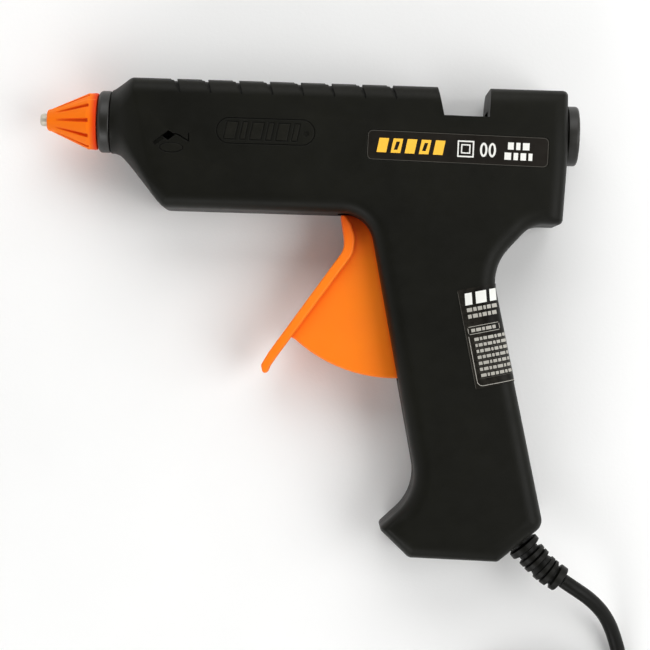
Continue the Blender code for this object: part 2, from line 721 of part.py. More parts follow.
def return_spring():
    hook, coil_r, turns, per_turn = 2.1, 2.6, 9, 8
    start, end = 54.0, 74.5
    points = []
    for step in range(7):
        angle = math.radians(45 + 45 * step)
        points.append((SPRING_BAR_X + hook * math.cos(angle), SPRING_Y + hook * math.sin(angle), MID))
    for step in range(turns * per_turn + 1):
        angle = 2 * math.pi * step / per_turn - math.pi / 2
        x = start + (end - start) * step / (turns * per_turn)
        points.append((x, SPRING_Y + coil_r * math.sin(angle), MID + coil_r * math.cos(angle)))
    for step in range(7):
        angle = math.radians(225 + 45 * step)
        place = (SPRING_POST_X + hook * math.cos(angle), SPRING_Y + hook * math.sin(angle), MID)
        points.append(place)
    wire("return_spring", points, 0.4, "steel", 1)
    pin("spring_post", SPRING_POST_R, 4.0, 30.0, SPRING_POST_X, SPRING_Y, 12, "steel")


def screws():
    for number, (x, y) in enumerate(SCREWS):
        profile = [(28.0, 0.9), (26.5, 1.35), (3.6, 1.35), (3.2, 2.6), (1.6, 2.2)]
        turned(f"housing_screw_{number + 1}", profile, None, (x, y, 0), (0, 0, 1), 12, "steel")


def wiring():
    route = [(-26.7, 58.15, 0.0), (-23.4, 57.6, -3.0), (-17.0, 54.6, -8.4), (-5.0, 52.4, -10.6)]
    route += [(12.0, 51.6, -11.2), (30.0, 50.8, -11.2), (43.0, 47.4, -11.0), (50.6, 38.0, -10.8)]
    route += [(53.6, 22.0, -10.4), (55.4, 0.0, -9.8), (57.6, -25.0, -7.6), (59.0, -45.2, -4.5)]
    for name, sign, finish in (("live", 1, "brown_wire"), ("neutral", -1, "blue_wire")):
        drop = 0.0 if sign > 0 else 3.6
        points = [(x, y - (drop if i == 0 else 0), MID + sign * z) for i, (x, y, z) in enumerate(route)]
        wire(f"lead_{name}", smooth_route(points, 3), WIRE_R, finish, 1)
        z = MID - sign * 4.5
        cylinder(f"splice_{name}", 2.8, -57.4, -45.6, (59.0, 0, z), (0, 1, 0), 12, "nylon")
        near, end = along_cord(-TAIL_LONG - 2.4), along_cord(-TAIL_LONG - 0.4)
        core = [(59.0, -57.8, z), (59.5, -59.8, z + sign * 0.9), (62.6, -60.6, MID - sign * 1.9)]
        core += [(*near, MID - sign * 1.4), (*end, MID - sign * 1.4)]
        wire(f"core_{name}", smooth_route(core, 2), WIRE_R, finish, 1)


def cord_anchorage():
    start, end = along_cord(-5.1), along_cord(-TAIL_LONG)
    wire("cord_tail", [(*start, MID), (*end, MID)], CORD_R, "rubber", 3)
    bar = box("clamp_bar", (-3, 3), (-8.8, 8.8), (20.1, 22.8), None, BOOT_ANGLE, along_cord(-CLAMP_BACK))
    for number, out in enumerate((-CLAMP_POST_OUT, CLAMP_POST_OUT)):
        x, y = along_cord(-CLAMP_BACK, out)
        boolean(bar, pin(f"bar_hole_{number}", 1.65, 15, 25, x, y))
        profile = [(24.9, 2.2), (23.4, 2.6), (23.1, 1.35), (10.5, 1.35), (9.6, 0.6)]
        turned(f"cord_clamp_screw_{number + 1}", profile, None, (x, y, 0), (0, 0, 1), 12, "steel")
    finished(bar, "cord_clamp", "nylon")


def strain_relief():
    """A ribbed round boot along a bending spine: each ring is square to it at its own distance."""
    steps = 16
    back = Vector(cord_way()) * -6.0
    spine = [Vector((*BOOT_AT, MID)) + Vector((x, y, 0)) for x, y in BOOT_SPINE]
    places = [spine[0] + back] + smooth_route(spine, 6)
    rings = []
    for distance, radius in BOOT_PROFILE:
        left = distance + back.length
        number = 0
        while number < len(places) - 2 and left > (places[number + 1] - places[number]).length:
            left -= (places[number + 1] - places[number]).length
            number += 1
        way = (places[number + 1] - places[number]).normalized()
        centre = places[number] + way * left
        across = Vector((-way.y, way.x, 0))
        ring = []
        for step in range(steps):
            angle = 2 * math.pi * step / steps
            rise = Vector((0, 0, radius * math.sin(angle)))
            ring.append(centre + across * radius * math.cos(angle) + rise)
        rings.append(ring)
    loft("strain_relief", rings, "rubber")


def free_cord():
    wire("cord", smooth_route(CORD_ROUTE, 2), CORD_R, "rubber", 3)
    edge_r = COIL_OUTER_R - 1.5
    turned(
        "cord_coil",
        [(COIL_HIGH, edge_r), (COIL_HIGH - 1.5, COIL_OUTER_R), (1.5, COIL_OUTER_R), (0, edge_r)],
        [(0, COIL_INNER_R), (COIL_HIGH, COIL_INNER_R)],
        (*COIL_AT, 0),
        (0, 0, 1),
        32,
        "rubber",
    )
    y = COIL_AT[1] - COIL_LAST_R
    lead = [(COIL_AT[0] + x, y, z) for x, z in PLUG_ROUTE]
    wire("cord_plug_lead", smooth_route(lead, 2), CORD_R, "rubber", 3)


def plug():
    y, z, x0 = COIL_AT[1] - COIL_LAST_R, PLUG_HIGH / 2, COIL_AT[0]
    start, end = x0 + PLUG_BODY_FROM, x0 + PLUG_BODY_FROM - PLUG_BODY_LONG
    corners = [(start, y + 6, 2), (start - 9, y + 13, 3), (end, y + 13, 1.5)]
    corners += [(end, y - 13, 1.5), (start - 9, y - 13, 3), (start, y - 6, 2)]
    body = extruded("plug_shell", filleted(corners, 0, 30), 0, PLUG_HIGH)
    tail = turned(
        "plug_tail",
        [(x0 + PLUG_TAIL_X, 3.1), (start - 2, 5.0)],
        None,
        (0, y, z),
        (1, 0, 0),
        16,
    )
    boolean(body, tail, "UNION")
    finished(body, "plug_body", "rubber")
    for number, side in enumerate((-1, 1)):
        place = (end - GAP, y + side * PLUG_PIN_SPACING / 2, z)
        profile = [(PLUG_PIN_LONG, 1.2), (PLUG_PIN_LONG - 1, 2.0), (0, 2.0)]
        turned(f"plug_pin_{number + 1}", profile, None, place, (-1, 0, 0), 12, "brass")


def build():
    housing()
    labels()
    front_end()
    check_valve()
    melting_chamber()
    stick_channel()
    trigger()
    feed_carriage()
    stick_jaw()
    return_spring()
    screws()
    wiring()
    cord_anchorage()
    strain_relief()
    free_cord()
    plug()


build()
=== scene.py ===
"""Looks for the hot-melt glue gun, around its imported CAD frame.

Everything is in the CAD frame. Lengths are in millimetres, and MM turns them into metres where a mesh
is made. Lights are placed in metres.
"""

import math

import bmesh
import bpy
from mathutils import Matrix, Vector


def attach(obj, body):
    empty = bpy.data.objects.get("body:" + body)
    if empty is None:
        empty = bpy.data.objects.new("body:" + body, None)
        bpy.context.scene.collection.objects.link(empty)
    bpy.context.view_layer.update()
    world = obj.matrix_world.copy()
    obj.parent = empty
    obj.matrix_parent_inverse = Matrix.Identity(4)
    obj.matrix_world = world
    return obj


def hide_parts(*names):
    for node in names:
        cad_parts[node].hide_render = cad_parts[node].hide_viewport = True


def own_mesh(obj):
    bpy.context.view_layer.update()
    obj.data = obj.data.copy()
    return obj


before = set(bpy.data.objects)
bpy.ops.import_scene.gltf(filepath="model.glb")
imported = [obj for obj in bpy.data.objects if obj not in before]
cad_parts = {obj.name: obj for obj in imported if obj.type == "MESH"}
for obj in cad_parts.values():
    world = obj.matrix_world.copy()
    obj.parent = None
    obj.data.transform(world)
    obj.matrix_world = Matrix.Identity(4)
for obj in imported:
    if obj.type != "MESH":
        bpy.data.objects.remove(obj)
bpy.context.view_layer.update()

MM = 0.001
WELD = 1e-7
SHARP = 35
SCENE = bpy.context.scene

# Housing, as in the CAD but for its softer edges and the lip at its parting line
WIDTH = 34.0
MID = WIDTH / 2
HALF = WIDTH / 2
WALL = 2.2
EDGE_ROUND = 6.5
EDGE_POWER = 2.4
SPLIT_GAP = 0.3
LIP_GAP = 0.02
LIP_BACK = 0.4
ABOVE = WIDTH + 2
FRONT_X = -73.4
TOP_Y = 86.1
BARREL_Y = 39.1
BARREL_MID_Y = 62.6
REAR_X = 93.9
STICK_Y = 70.7
SIDE_VIEW = [
    (-64.9, TOP_Y, 1.0),
    (-84.0, 80.0, 0.0),
    (-84.0, 58.0, 0.0),
    (-71.0, 58.0, 3.5),
    (-52.9, BARREL_Y, 3.4),
    (22.1, 39.2, 12.0),
    (43.3, -61.7, 18.5),
    (29.2, -75.2, 1.5),
    (40.4, -85.5, 3.0),
    (72.9, -86.1, 2.0),
    (89.1, -72.4, 5.0),
    (67.2, 21.0, 18.0),
    (81.6, 37.2, 11.0),
    (92.7, 37.2, 2.0),
    (REAR_X, 63.0, 0.0),
    (93.3, TOP_Y, 2.0),
]
NOSE_RINGS = [
    (FRONT_X, 82.3, FRONT_X, 59.1, 11.6, 11.6),
    (-72.1, 82.9, -71.6, 58.9, 12.0, 11.4),
    (-70.6, 83.7, -69.2, 57.6, 12.9, 10.6),
    (-68.2, 84.8, -64.2, 52.3, 14.9, 8.5),
    (-65.0, 86.15, -52.95, 38.95, 17.05, 5.5),
]
NOSE_BEYOND = (-59.5, 87.4, -44.5, 31.5, 17.9, 5.0)
NOSE_CUTTER_LEAD = 2.0
NOSE_CUTTER_SPREAD = (8, 3)
NOSE_CUTTER_END_X = 130.0
NOTCH = [(45.2, TOP_Y + 2), (48.2, 75.4), (64.6, 75.2), (65.1, TOP_Y + 2)]
NOTCH_WALLS = [(43.2, 90.0), (46.0, 73.0), (66.6, 73.0), (67.2, 90.0)]
NOTCH_WELL = [(43.0, 72.0), (67.5, 72.0), (67.5, 78.5), (43.0, 78.5)]
NOTCH_WELL_HALF = 6
NOSE_BORE_R = 8.0
INLET_BORE_R = 9.4
BOOT_BORE_R = 4.4
SCREWS = [(-46, 46), (-5, 46), (84, 46), (4, 79.6), (61, 9), (69, -32), (44, -74)]
SCREW_HOLE_R = 3.0
SCREW_HOLE_DEEP = 4.2
PIVOT = (32.2, 33.8)
SECTOR_R = 54.5
SECTOR_FROM = 229.4
SECTOR_TO = 282.0
SECTOR_STEPS = 14
WEB_THICK = 8.0
BLADE_WIDE = 16.0
TRIGGER_EDGE = 0.9
TRIGGER_SLOT = [(10.9, 34.0), (20.0, -21.6), (48.0, -21.6), (36.0, 43.0), (10.9, 43.0)]
TRIGGER_SLOT_HALF = 4.5
DRIVE_PIN_AT = (38.8, 60.3)
FORK = [(-2, -4.5), (-2, 4.5), (30, 4.8), (30, -4.8)]
FORK_HALF = 3
FORK_SLOT = [(24, -2.1), (24, 2.1), (35, 2.1), (35, -2.1)]
PIVOT_BORE_R = 2.3
GROOVES = 8
GROOVE_FIRST_X = 29.2
GROOVE_PITCH = 11.2
PLATE_AT = (53.5, 63.4)
PLATE_LONG = 65.8
PLATE_HIGH = 11.0
PLATE_TILT = -0.9
PLATE_CORNER_R = 2.0
PLATE_BED_Z = 33.1
PLATE_Z = (33.4, 33.9)
PLATE_PRINT_Z = (33.88, 33.93)
MARK_DEEP = 0.25
PILL_AT = (-16.2, 67.4)
PILL_LONG = 35.8
PILL_HIGH = 9.5
PILL_TILT = -0.6
PILL_DOT = (-1.6, 67.0, 0)
PILL_DOT_R = 1.0
PILL_BLOCKS = [(-15.4, 4.6), (-9.6, 2.4), (-6.0, 4.6), (-0.2, 2.4), (3.4, 4.6), (9.2, 2.4)]
SOCKET_HOLE = [(-53.6, 64.9), (-51.4, 66.8), (-48.9, 65.3), (-51.4, 63.2)]
SOCKET_ARMS = [
    [(-52.5, 66.0), (-57.0, 62.4), (-56.2, 61.2), (-52.4, 63.9)],
    [
        (-49.6, 65.6), (-47.3, 64.7), (-44.0, 62.8), (-43.7, 63.1), (-44.0, 66.2), (-44.3, 66.2),
        (-44.2, 63.5), (-47.2, 65.3), (-49.4, 66.1),
    ],
]
SOCKET_LENS = (-50.2, 60.6, 4.4, 1.9)
SOCKET_LENS_INNER = (-50.2, 60.7, 4.05, 1.6)
LABEL_REGION = [(54.7, 12.1), (62.6, -23.5), (92.0, -16.6), (85.0, 18.7)]
LABEL_FILM = (0.02, 0.25)
LABEL_INK = (0.23, 0.29)
WORDS = (1.6, 0.9, 1.3, 2.0, 0.8, 1.4, 1.1)
WORD_GAP = 0.4

# Cord and plug: the cord leaves the boot within 1 mm of the CAD's route, and then follows it
CORD_R = 2.7
CORD_ROUTE = [
    (98.3, -93.6, 17.0),
    (102.6, -96.3, 16.6),
    (108.0, -99.9, 14.7),
    (113.1, -104.5, 11.7),
    (117.0, -109.9, 8.2),
    (120.0, -116.5, 5.2),
    (122.3, -124.0, 3.4),
    (123.6, -132.0, 2.9),
    (124.3, -140.0, 2.8),
    (124.45, -146.0, 2.8),
    (124.5, -156.0, 2.8),
    (124.5, -166.0, 2.8),
]
COIL_AT = (85.6, -168.0)
COIL_LAST_R = 38.9
COIL_PITCH = 5.5
COIL_TURNS = 3
COIL_LOW = 2.8
COIL_UP = 8.3
COIL_PER_TURN = 36
COIL_RISE_TURN = 90
COIL_RISE_STEPS = 9
PLUG_ROUTE = [(-8.0, 8.3), (-15.0, 8.25), (-21.7, 8.0), (-25.0, 7.6), (-30.0, 7.2)]
PLUG_BODY_FROM = -44.0
PLUG_BODY_LONG = 32.0
PLUG_HIGH = 14.0
PLUG_HALF_WIDE = 13
PLUG_GRIPS = 5
PLUG_TAIL_RIBS = 5
PLUG_PIN_LONG = 19.0
PLUG_PIN_SPACING = 19.0
PLUG_PIN_R = 2.0


# ---------------------------------------------------------------- camera

def add_camera():
    data = bpy.data.cameras.new("camera")
    data.sensor_width = 36.0
    data.lens = 110.8
    data.clip_start = 0.01
    data.clip_end = 10.0
    camera = bpy.data.objects.new("camera", data)
    SCENE.collection.objects.link(camera)
    camera.location = Vector((7.45, -1.85, 757.0)) * MM
    camera.rotation_euler = (0, 0, math.radians(1.8))
    SCENE.camera = camera


add_camera()


# ---------------------------------------------------------------- materials

def srgb(red, green, blue):
    """A colour in 0 to 255 sRGB, as linear RGBA."""
    def linear(value):
        value /= 255
        return value / 12.92 if value <= 0.04045 else ((value + 0.055) / 1.055) ** 2.4
    return (linear(red), linear(green), linear(blue), 1.0)


class Tree:
    """A material's node tree, with short calls to add and link nodes."""

    def __init__(self, name):
        self.material = bpy.data.materials.new(name)
        self.material.use_nodes = True
        self.nodes = self.material.node_tree.nodes
        self.links = self.material.node_tree.links
        self.shader = self.nodes["Principled BSDF"]

    def add(self, kind, settings=None, **inputs):
        node = self.nodes.new("ShaderNode" + kind)
        for key, value in (settings or {}).items():
            setattr(node, key, value)
        for key, value in inputs.items():
            self.put(node.inputs[key.replace("_", " ")], value)
        return node

    def put(self, socket, value):
        if isinstance(value, bpy.types.NodeSocket):
            self.links.new(value, socket)
        else:
            socket.default_value = value

    def noise(self, place, scale, detail=3.0, roughness=0.55):
        node = self.add("TexNoise", Scale=scale, Detail=detail, Roughness=roughness)
        self.links.new(place, node.inputs["Vector"])
        return node.outputs["Fac"]

    def spread(self, value, low, high, to_low, to_high):
        """A value's range low..high mapped to to_low..to_high, and kept within it."""
        node = self.add("MapRange")
        self.links.new(value, node.inputs["Value"])
        ends = {"From Min": low, "From Max": high, "To Min": to_low, "To Max": to_high}
        for key, number in ends.items():
            node.inputs[key].default_value = number
        return node.outputs["Result"]

    def times(self, a, b):
        node = self.add("Math", {"operation": "MULTIPLY"})
        self.put(node.inputs[0], a)
        self.put(node.inputs[1], b)
        return node.outputs[0]

    def mix(self, factor, a, b):
        node = self.add("Mix", {"data_type": "RGBA"})
        self.put(node.inputs[0], factor)
        self.put(node.inputs[6], a)
        self.put(node.inputs[7], b)
        return node.outputs[2]

    def bump(self, height, distance, strength=1.0, normal=None):
        node = self.add("Bump", Strength=strength, Distance=distance)
        self.links.new(height, node.inputs["Height"])
        if normal is not None:
            self.links.new(normal, node.inputs["Normal"])
        return node.outputs["Normal"]


def moulded(name, dark, light, rough, grain, grain_depth, edge=None, edge_share=0.5, metallic=0.0,
            specular=0.5, rounding=0.0, subsurface=0.0, broad=45.0):
    """A moulded, cast or drawn surface.

    Its colour drifts between dark and light over patches, broad of them per metre, and its roughness between
    the two values of rough. The grain is that many cells per metre and stands grain_depth metres deep. Edges
    are rubbed towards the edge colour, and shaded as if rounded by so many millimetres.
    """
    tree = Tree(name)
    place = tree.add("TexCoord").outputs["Object"]
    drift = tree.noise(place, broad, 4.0)
    fine = tree.noise(place, grain, 2.0, 0.6)
    colour = tree.mix(tree.spread(drift, 0.3, 0.7, 0.0, 1.0), dark, light)
    smudge = tree.noise(place, broad * 4.3, 5.0, 0.65)
    roughness = tree.spread(smudge, 0.3, 0.7, rough[0], rough[1])
    if edge is not None:
        geometry = tree.add("NewGeometry")
        worn = tree.spread(geometry.outputs["Pointiness"], 0.52, 0.60, 0.0, 1.0)
        patches = tree.spread(tree.noise(place, broad * 11, 4.0, 0.7), 0.35, 0.65, 0.2, 1.0)
        worn = tree.times(tree.times(worn, patches), edge_share)
        colour = tree.mix(worn, colour, edge)
    tree.links.new(colour, tree.shader.inputs["Base Color"])
    tree.links.new(roughness, tree.shader.inputs["Roughness"])
    normal = None
    if rounding:
        bevel = tree.add("Bevel", {"samples": 4}, Radius=rounding * MM)
        normal = bevel.outputs["Normal"]
    tree.links.new(tree.bump(fine, grain_depth, 1.0, normal), tree.shader.inputs["Normal"])
    tree.shader.inputs["Metallic"].default_value = metallic
    tree.shader.inputs["Specular IOR Level"].default_value = specular
    if subsurface:
        tree.shader.inputs["Subsurface Weight"].default_value = subsurface
        tree.shader.inputs["Subsurface Radius"].default_value = (0.002, 0.0008, 0.0003)
        tree.shader.inputs["Subsurface Scale"].default_value = 1.0
    return tree.material


BODY = moulded("body_plastic", srgb(17, 17, 13), srgb(22, 22, 17), (0.40, 0.50), 2600, 0.00002,
               srgb(48, 46, 39), 0.2, specular=0.12, rounding=0.5)
GLOSS = moulded("gloss_plastic", srgb(24, 23, 19), srgb(29, 28, 23), (0.36, 0.44), 1500, 0.000004,
                srgb(60, 58, 52), 0.3, specular=0.45, rounding=0.25)
PLATE = moulded("plate_plastic", srgb(19, 16, 12), srgb(24, 20, 15), (0.34, 0.46), 3200, 0.00001,
                srgb(66, 64, 56), 0.4, specular=0.18, rounding=0.15)
STICKER = moulded("sticker_film", srgb(11, 10, 7), srgb(14, 12, 9), (0.38, 0.44), 900, 0.000004,
                  srgb(60, 57, 50), 0.4, specular=0.1)
TIP = moulded("tip_metal", srgb(188, 182, 165), srgb(204, 198, 182), (0.34, 0.48), 3000, 0.00001,
              srgb(226, 222, 208), 0.5, metallic=0.3, rounding=0.15)
STEEL = moulded("steel", srgb(165, 163, 158), srgb(190, 188, 182), (0.22, 0.38), 3500, 0.00001,
                srgb(220, 218, 212), 0.5, metallic=1.0)
BRASS = moulded("brass", srgb(196, 158, 88), srgb(214, 178, 108), (0.22, 0.36), 3000, 0.00001,
                srgb(236, 208, 148), 0.5, metallic=1.0)
ALUMINIUM = moulded("cast_aluminium", srgb(150, 150, 148), srgb(178, 178, 176), (0.42, 0.6), 1600,
                    0.00006, srgb(205, 205, 203), 0.5, metallic=1.0)
CERAMIC = moulded("ceramic", srgb(214, 210, 196), srgb(228, 225, 214), (0.6, 0.8), 2200, 0.00003,
                  srgb(190, 184, 168), 0.4)
AMBER = moulded("amber_film", srgb(150, 88, 22), srgb(178, 108, 32), (0.28, 0.42), 1200, 0.00002,
                srgb(205, 140, 60), 0.4)
SILICONE = moulded("clear_silicone", srgb(206, 202, 192), srgb(222, 219, 210), (0.35, 0.5), 1500,
                   0.00002, srgb(235, 232, 225), 0.3, subsurface=0.3)
NYLON = moulded("nylon", srgb(196, 193, 184), srgb(212, 209, 201), (0.4, 0.55), 2400, 0.00002,
                srgb(228, 226, 219), 0.4, subsurface=0.2)
RUBBER = moulded("cord_rubber", srgb(9, 9, 7), srgb(14, 14, 11), (0.38, 0.5), 2400, 0.00002,
                 srgb(40, 39, 34), 0.4, specular=0.15)
BROWN = moulded("brown_wire", srgb(92, 50, 26), srgb(112, 62, 34), (0.35, 0.5), 2600, 0.00001,
                srgb(140, 90, 60), 0.3)
BLUE = moulded("blue_wire", srgb(30, 66, 140), srgb(44, 84, 162), (0.35, 0.5), 2600, 0.00001,
               srgb(90, 124, 190), 0.3)
WHITE_INK = moulded("white_ink", srgb(226, 226, 220), srgb(238, 238, 232), (0.5, 0.6), 4200, 0.000004)
GREY_INK = moulded("grey_ink", srgb(162, 159, 150), srgb(180, 177, 168), (0.5, 0.6), 4200, 0.000004)
# Faint print ink, which also serves as the painted highlight along the plate's edge.
FAINT_INK_AND_RIM_HIGHLIGHT = moulded("faint_ink_and_rim_highlight", srgb(54, 52, 45), srgb(64, 61, 53), (0.5, 0.6), 4200, 0.000004)
YELLOW_INK = moulded("yellow_ink", srgb(246, 186, 46), srgb(252, 196, 58), (0.5, 0.6), 4200, 0.000004)
FLOOR = moulded("floor_board", srgb(244, 244, 243), srgb(248, 248, 247), (0.55, 0.7), 700, 0.00004,
                broad=6.0)


def orange(name, bright, deep, span, axis, rough, reach, hollow_shade_share, specular):
    """Orange plastic with painted shade, darkening from bright to deep along one axis of the frame, from
    span[0] to span[1] mm, towards where the part lies in shade.

    It is also painted darker red in its hollows as painted shade, by its hollow share, where other surfaces
    close in within reach mm.
    """
    tree = Tree(name)
    place = tree.add("TexCoord").outputs["Object"]
    split = tree.add("SeparateXYZ")
    tree.links.new(place, split.inputs["Vector"])
    # Painted shade: the colour runs from bright to deep along the axis, towards where the part lies in
    # shade.
    share = tree.spread(split.outputs[axis], span[0] * MM, span[1] * MM, 0.0, 1.0)
    colour = tree.mix(share, bright, deep)
    drift = tree.noise(place, 60, 4.0)
    colour = tree.mix(tree.spread(drift, 0.3, 0.7, 0.0, 0.12), colour, deep)
    geometry = tree.add("NewGeometry")
    worn = tree.spread(geometry.outputs["Pointiness"], 0.53, 0.62, 0.0, 0.25)
    colour = tree.mix(worn, colour, srgb(255, 160, 72))
    # Painted shade: darker red where other surfaces close in, found by ambient occlusion.
    closed = tree.add("AmbientOcclusion", {"samples": 8}, Distance=reach * MM)
    painted_hollow_shade = tree.spread(closed.outputs["AO"], 0.5, 0.97, hollow_shade_share, 0.0)
    colour = tree.mix(painted_hollow_shade, colour, srgb(222, 50, 6))
    tree.links.new(colour, tree.shader.inputs["Base Color"])
    smudge = tree.noise(place, 260, 5.0, 0.65)
    tree.links.new(tree.spread(smudge, 0.3, 0.7, *rough), tree.shader.inputs["Roughness"])
    bevel = tree.add("Bevel", {"samples": 4}, Radius=0.3 * MM)
    fine = tree.noise(place, 2200, 2.0, 0.6)
    tree.links.new(tree.bump(fine, 0.000008, 1.0, bevel.outputs["Normal"]), tree.shader.inputs["Normal"])
    tree.shader.inputs["Specular IOR Level"].default_value = specular
    tree.shader.inputs["Subsurface Weight"].default_value = 0.1
    tree.shader.inputs["Subsurface Radius"].default_value = (0.0015, 0.0005, 0.0002)
    tree.shader.inputs["Subsurface Scale"].default_value = 1.0
    return tree.material


# The sleeve is painted darker at its rear, beside the collar, as painted shade, and darker red in its flutes
# as painted shade.
SLEEVE = orange("sleeve_silicone", srgb(250, 121, 8), srgb(222, 62, 8), (-81.2, -79.3), "X",
                rough=(0.5, 0.6), reach=2.0, hollow_shade_share=0.7, specular=0.12)
# The trigger is painted darker towards its top, where it lies in the barrel's shadow, and darker red in its
# hollows, as painted shade.
TRIGGER = orange("trigger_plastic", srgb(255, 130, 24), srgb(244, 96, 18), (22, 38), "Y",
                 rough=(0.38, 0.48), reach=1.8, hollow_shade_share=0.5, specular=0.22)


# ---------------------------------------------------------------- shapes

def keep(name, mesh):
    obj = bpy.data.objects.new(name, mesh)
    SCENE.collection.objects.link(obj)
    return obj


def shaded(mesh, angle=SHARP):
    for polygon in mesh.polygons:
        polygon.use_smooth = True
    mesh.set_sharp_from_angle(angle=math.radians(angle))
    return mesh


def weld(mesh, angle=SHARP):
    """Join a mesh's doubled points, turn its faces outwards and shade it smooth below an angle."""
    body = bmesh.new()
    body.from_mesh(mesh)
    bmesh.ops.remove_doubles(body, verts=body.verts, dist=WELD)
    bmesh.ops.dissolve_degenerate(body, edges=body.edges, dist=WELD)
    bmesh.ops.recalc_face_normals(body, faces=body.faces)
    body.to_mesh(mesh)
    body.free()
    return shaded(mesh, angle)


def baked(obj):
    """An object's evaluated, welded mesh, in world space. The object itself is removed."""
    bpy.context.view_layer.update()
    depsgraph = bpy.context.evaluated_depsgraph_get()
    mesh = bpy.data.meshes.new_from_object(obj.evaluated_get(depsgraph))
    mesh.transform(obj.matrix_world)
    bpy.data.objects.remove(obj, do_unlink=True)
    return weld(mesh)


def joined(name, *meshes):
    """One mesh from several, each keeping its own place."""
    body = bmesh.new()
    for mesh in meshes:
        body.from_mesh(mesh)
    mesh = bpy.data.meshes.new(name)
    body.to_mesh(mesh)
    body.free()
    return shaded(mesh)


def piece(name, mesh, material, body, nodes=(), flat_faces=True):
    """A finished piece of the object, shaded so that its large faces look flat unless told otherwise."""
    mesh.name = name
    mesh.materials.clear()
    mesh.materials.append(material)
    obj = keep(name, mesh)
    if flat_faces:
        weighted = obj.modifiers.new("even_shading", "WEIGHTED_NORMAL")
        weighted.keep_sharp = True
    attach(obj, body)
    if nodes:
        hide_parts(*nodes)
    return obj


def cut(target, *cutters, operation="DIFFERENCE"):
    """Boolean cutters, which are meshes, into a target mesh."""
    obj = keep("target", target)
    for mesh in cutters:
        cutter = keep("cutter", mesh)
        modifier = obj.modifiers.new("cut", "BOOLEAN")
        modifier.operation = operation
        modifier.solver = "EXACT"
        modifier.object = cutter
    tools = [modifier.object for modifier in obj.modifiers]
    mesh = baked(obj)
    for tool in tools:
        bpy.data.objects.remove(tool, do_unlink=True)
    return mesh


def filleted(corners, inset=0.0, arc_step=6.0):
    """The outline of an anticlockwise (x, y, radius) polygon, moved inwards by inset."""
    count = len(corners)
    places = [Vector((x, y)) for x, y, _ in corners]
    ways = [(places[(i + 1) % count] - places[i]).normalized() for i in range(count)]
    outline = []
    for i, (_, _, radius) in enumerate(corners):
        into, out = ways[i - 1], ways[i]
        turn = math.atan2(into.cross(out), into.dot(out))
        left = Vector((-into.y, into.x))
        corner = places[i] + inset * (left + into * -math.tan(turn / 2))
        if radius == 0:
            outline.append(tuple(corner))
            continue
        side = 1 if turn > 0 else -1
        bend = max(radius - side * inset, 0.0)
        start = corner - into * bend * math.tan(abs(turn) / 2)
        centre = start + left * side * bend
        steps = max(2, math.ceil(abs(math.degrees(turn)) / arc_step))
        for step in range(steps + 1):
            spoke = Matrix.Rotation(turn * step / steps, 2) @ (start - centre)
            outline.append(tuple(centre + spoke))
    return outline


def loft(rings, closed=False, angle=SHARP):
    """A mesh through rings of (x, y, z) points, capped at both ends or closed from last ring to first."""
    body = bmesh.new()
    layers = [[body.verts.new(Vector(p) * MM) for p in ring] for ring in rings]
    count = len(rings[0])
    pairs = list(zip(layers, layers[1:]))
    if closed:
        pairs.append((layers[-1], layers[0]))
    for lower, upper in pairs:
        for i in range(count):
            j = (i + 1) % count
            body.faces.new((lower[i], lower[j], upper[j], upper[i]))
    if not closed:
        body.faces.new(list(reversed(layers[0])))
        body.faces.new(layers[-1])
    mesh = bpy.data.meshes.new("loft")
    body.to_mesh(mesh)
    body.free()
    return weld(mesh, angle)


def prism(outline, low, high):
    """An outline of (x, y) points, filled and extruded along Z."""
    return loft([[(x, y, low) for x, y in outline], [(x, y, high) for x, y in outline]])


def cushion(corners, low, high, rounding, steps=5, top_only=False):
    """A prism of a filleted outline with a rounded upper edge, and a rounded lower one unless top_only."""
    rings = []
    turns = [math.radians(90 * step / steps) for step in range(steps + 1)]
    if top_only:
        rings.append([(x, y, low) for x, y in filleted(corners)])
    else:
        for turn in turns:
            outline = filleted(corners, rounding * (1 - math.sin(turn)))
            rings.append([(x, y, low + rounding * (1 - math.cos(turn))) for x, y in outline])
    for turn in turns:
        outline = filleted(corners, rounding * (1 - math.cos(turn)))
        rings.append([(x, y, high - rounding * (1 - math.sin(turn))) for x, y in outline])
    return loft(rings)


def ring_of(profile, at=(0, STICK_Y, MID), along=(1, 0, 0), steps=64, solid=False, angle=SHARP):
    """A profile of (height, radius) turned about an axis: a closed loop, or a solid down to its axis."""
    turn = Vector(along).to_track_quat("Z", "Y")
    rings = []
    for step in range(steps):
        a = 2 * math.pi * step / steps
        ring = []
        for height, radius in profile:
            ring.append(turn @ Vector((radius * math.cos(a), radius * math.sin(a), height)) + Vector(at))
        rings.append(ring)
    body = bmesh.new()
    layers = [[body.verts.new(p * MM) for p in ring] for ring in rings]
    count = len(profile)
    for number in range(steps):
        one, two = layers[number], layers[(number + 1) % steps]
        for i in range(count if not solid else count - 1):
            j = (i + 1) % count
            body.faces.new((one[i], one[j], two[j], two[i]))
    if solid:
        body.faces.new([layer[0] for layer in layers])
        body.faces.new([layer[-1] for layer in reversed(layers)])
    mesh = bpy.data.meshes.new("ring")
    body.to_mesh(mesh)
    body.free()
    return weld(mesh, angle)


def rod(radius, low, high, at, along=(0, 0, 1), steps=48):
    return ring_of([(high, radius), (low, radius)], at, along, steps, solid=True)


def bar(x, y, long, high, slant=0.0):
    """A small parallelogram of print, as an outline."""
    return [(x, y), (x + long, y), (x + long + slant, y + high), (x + slant, y + high)]


def band(outer, inner, low, high):
    """A flat closed line between two outlines of as many points."""
    levels = ((outer, low), (outer, high), (inner, high), (inner, low))
    return loft([[(x, y, z) for x, y in outline] for outline, z in levels], closed=True)


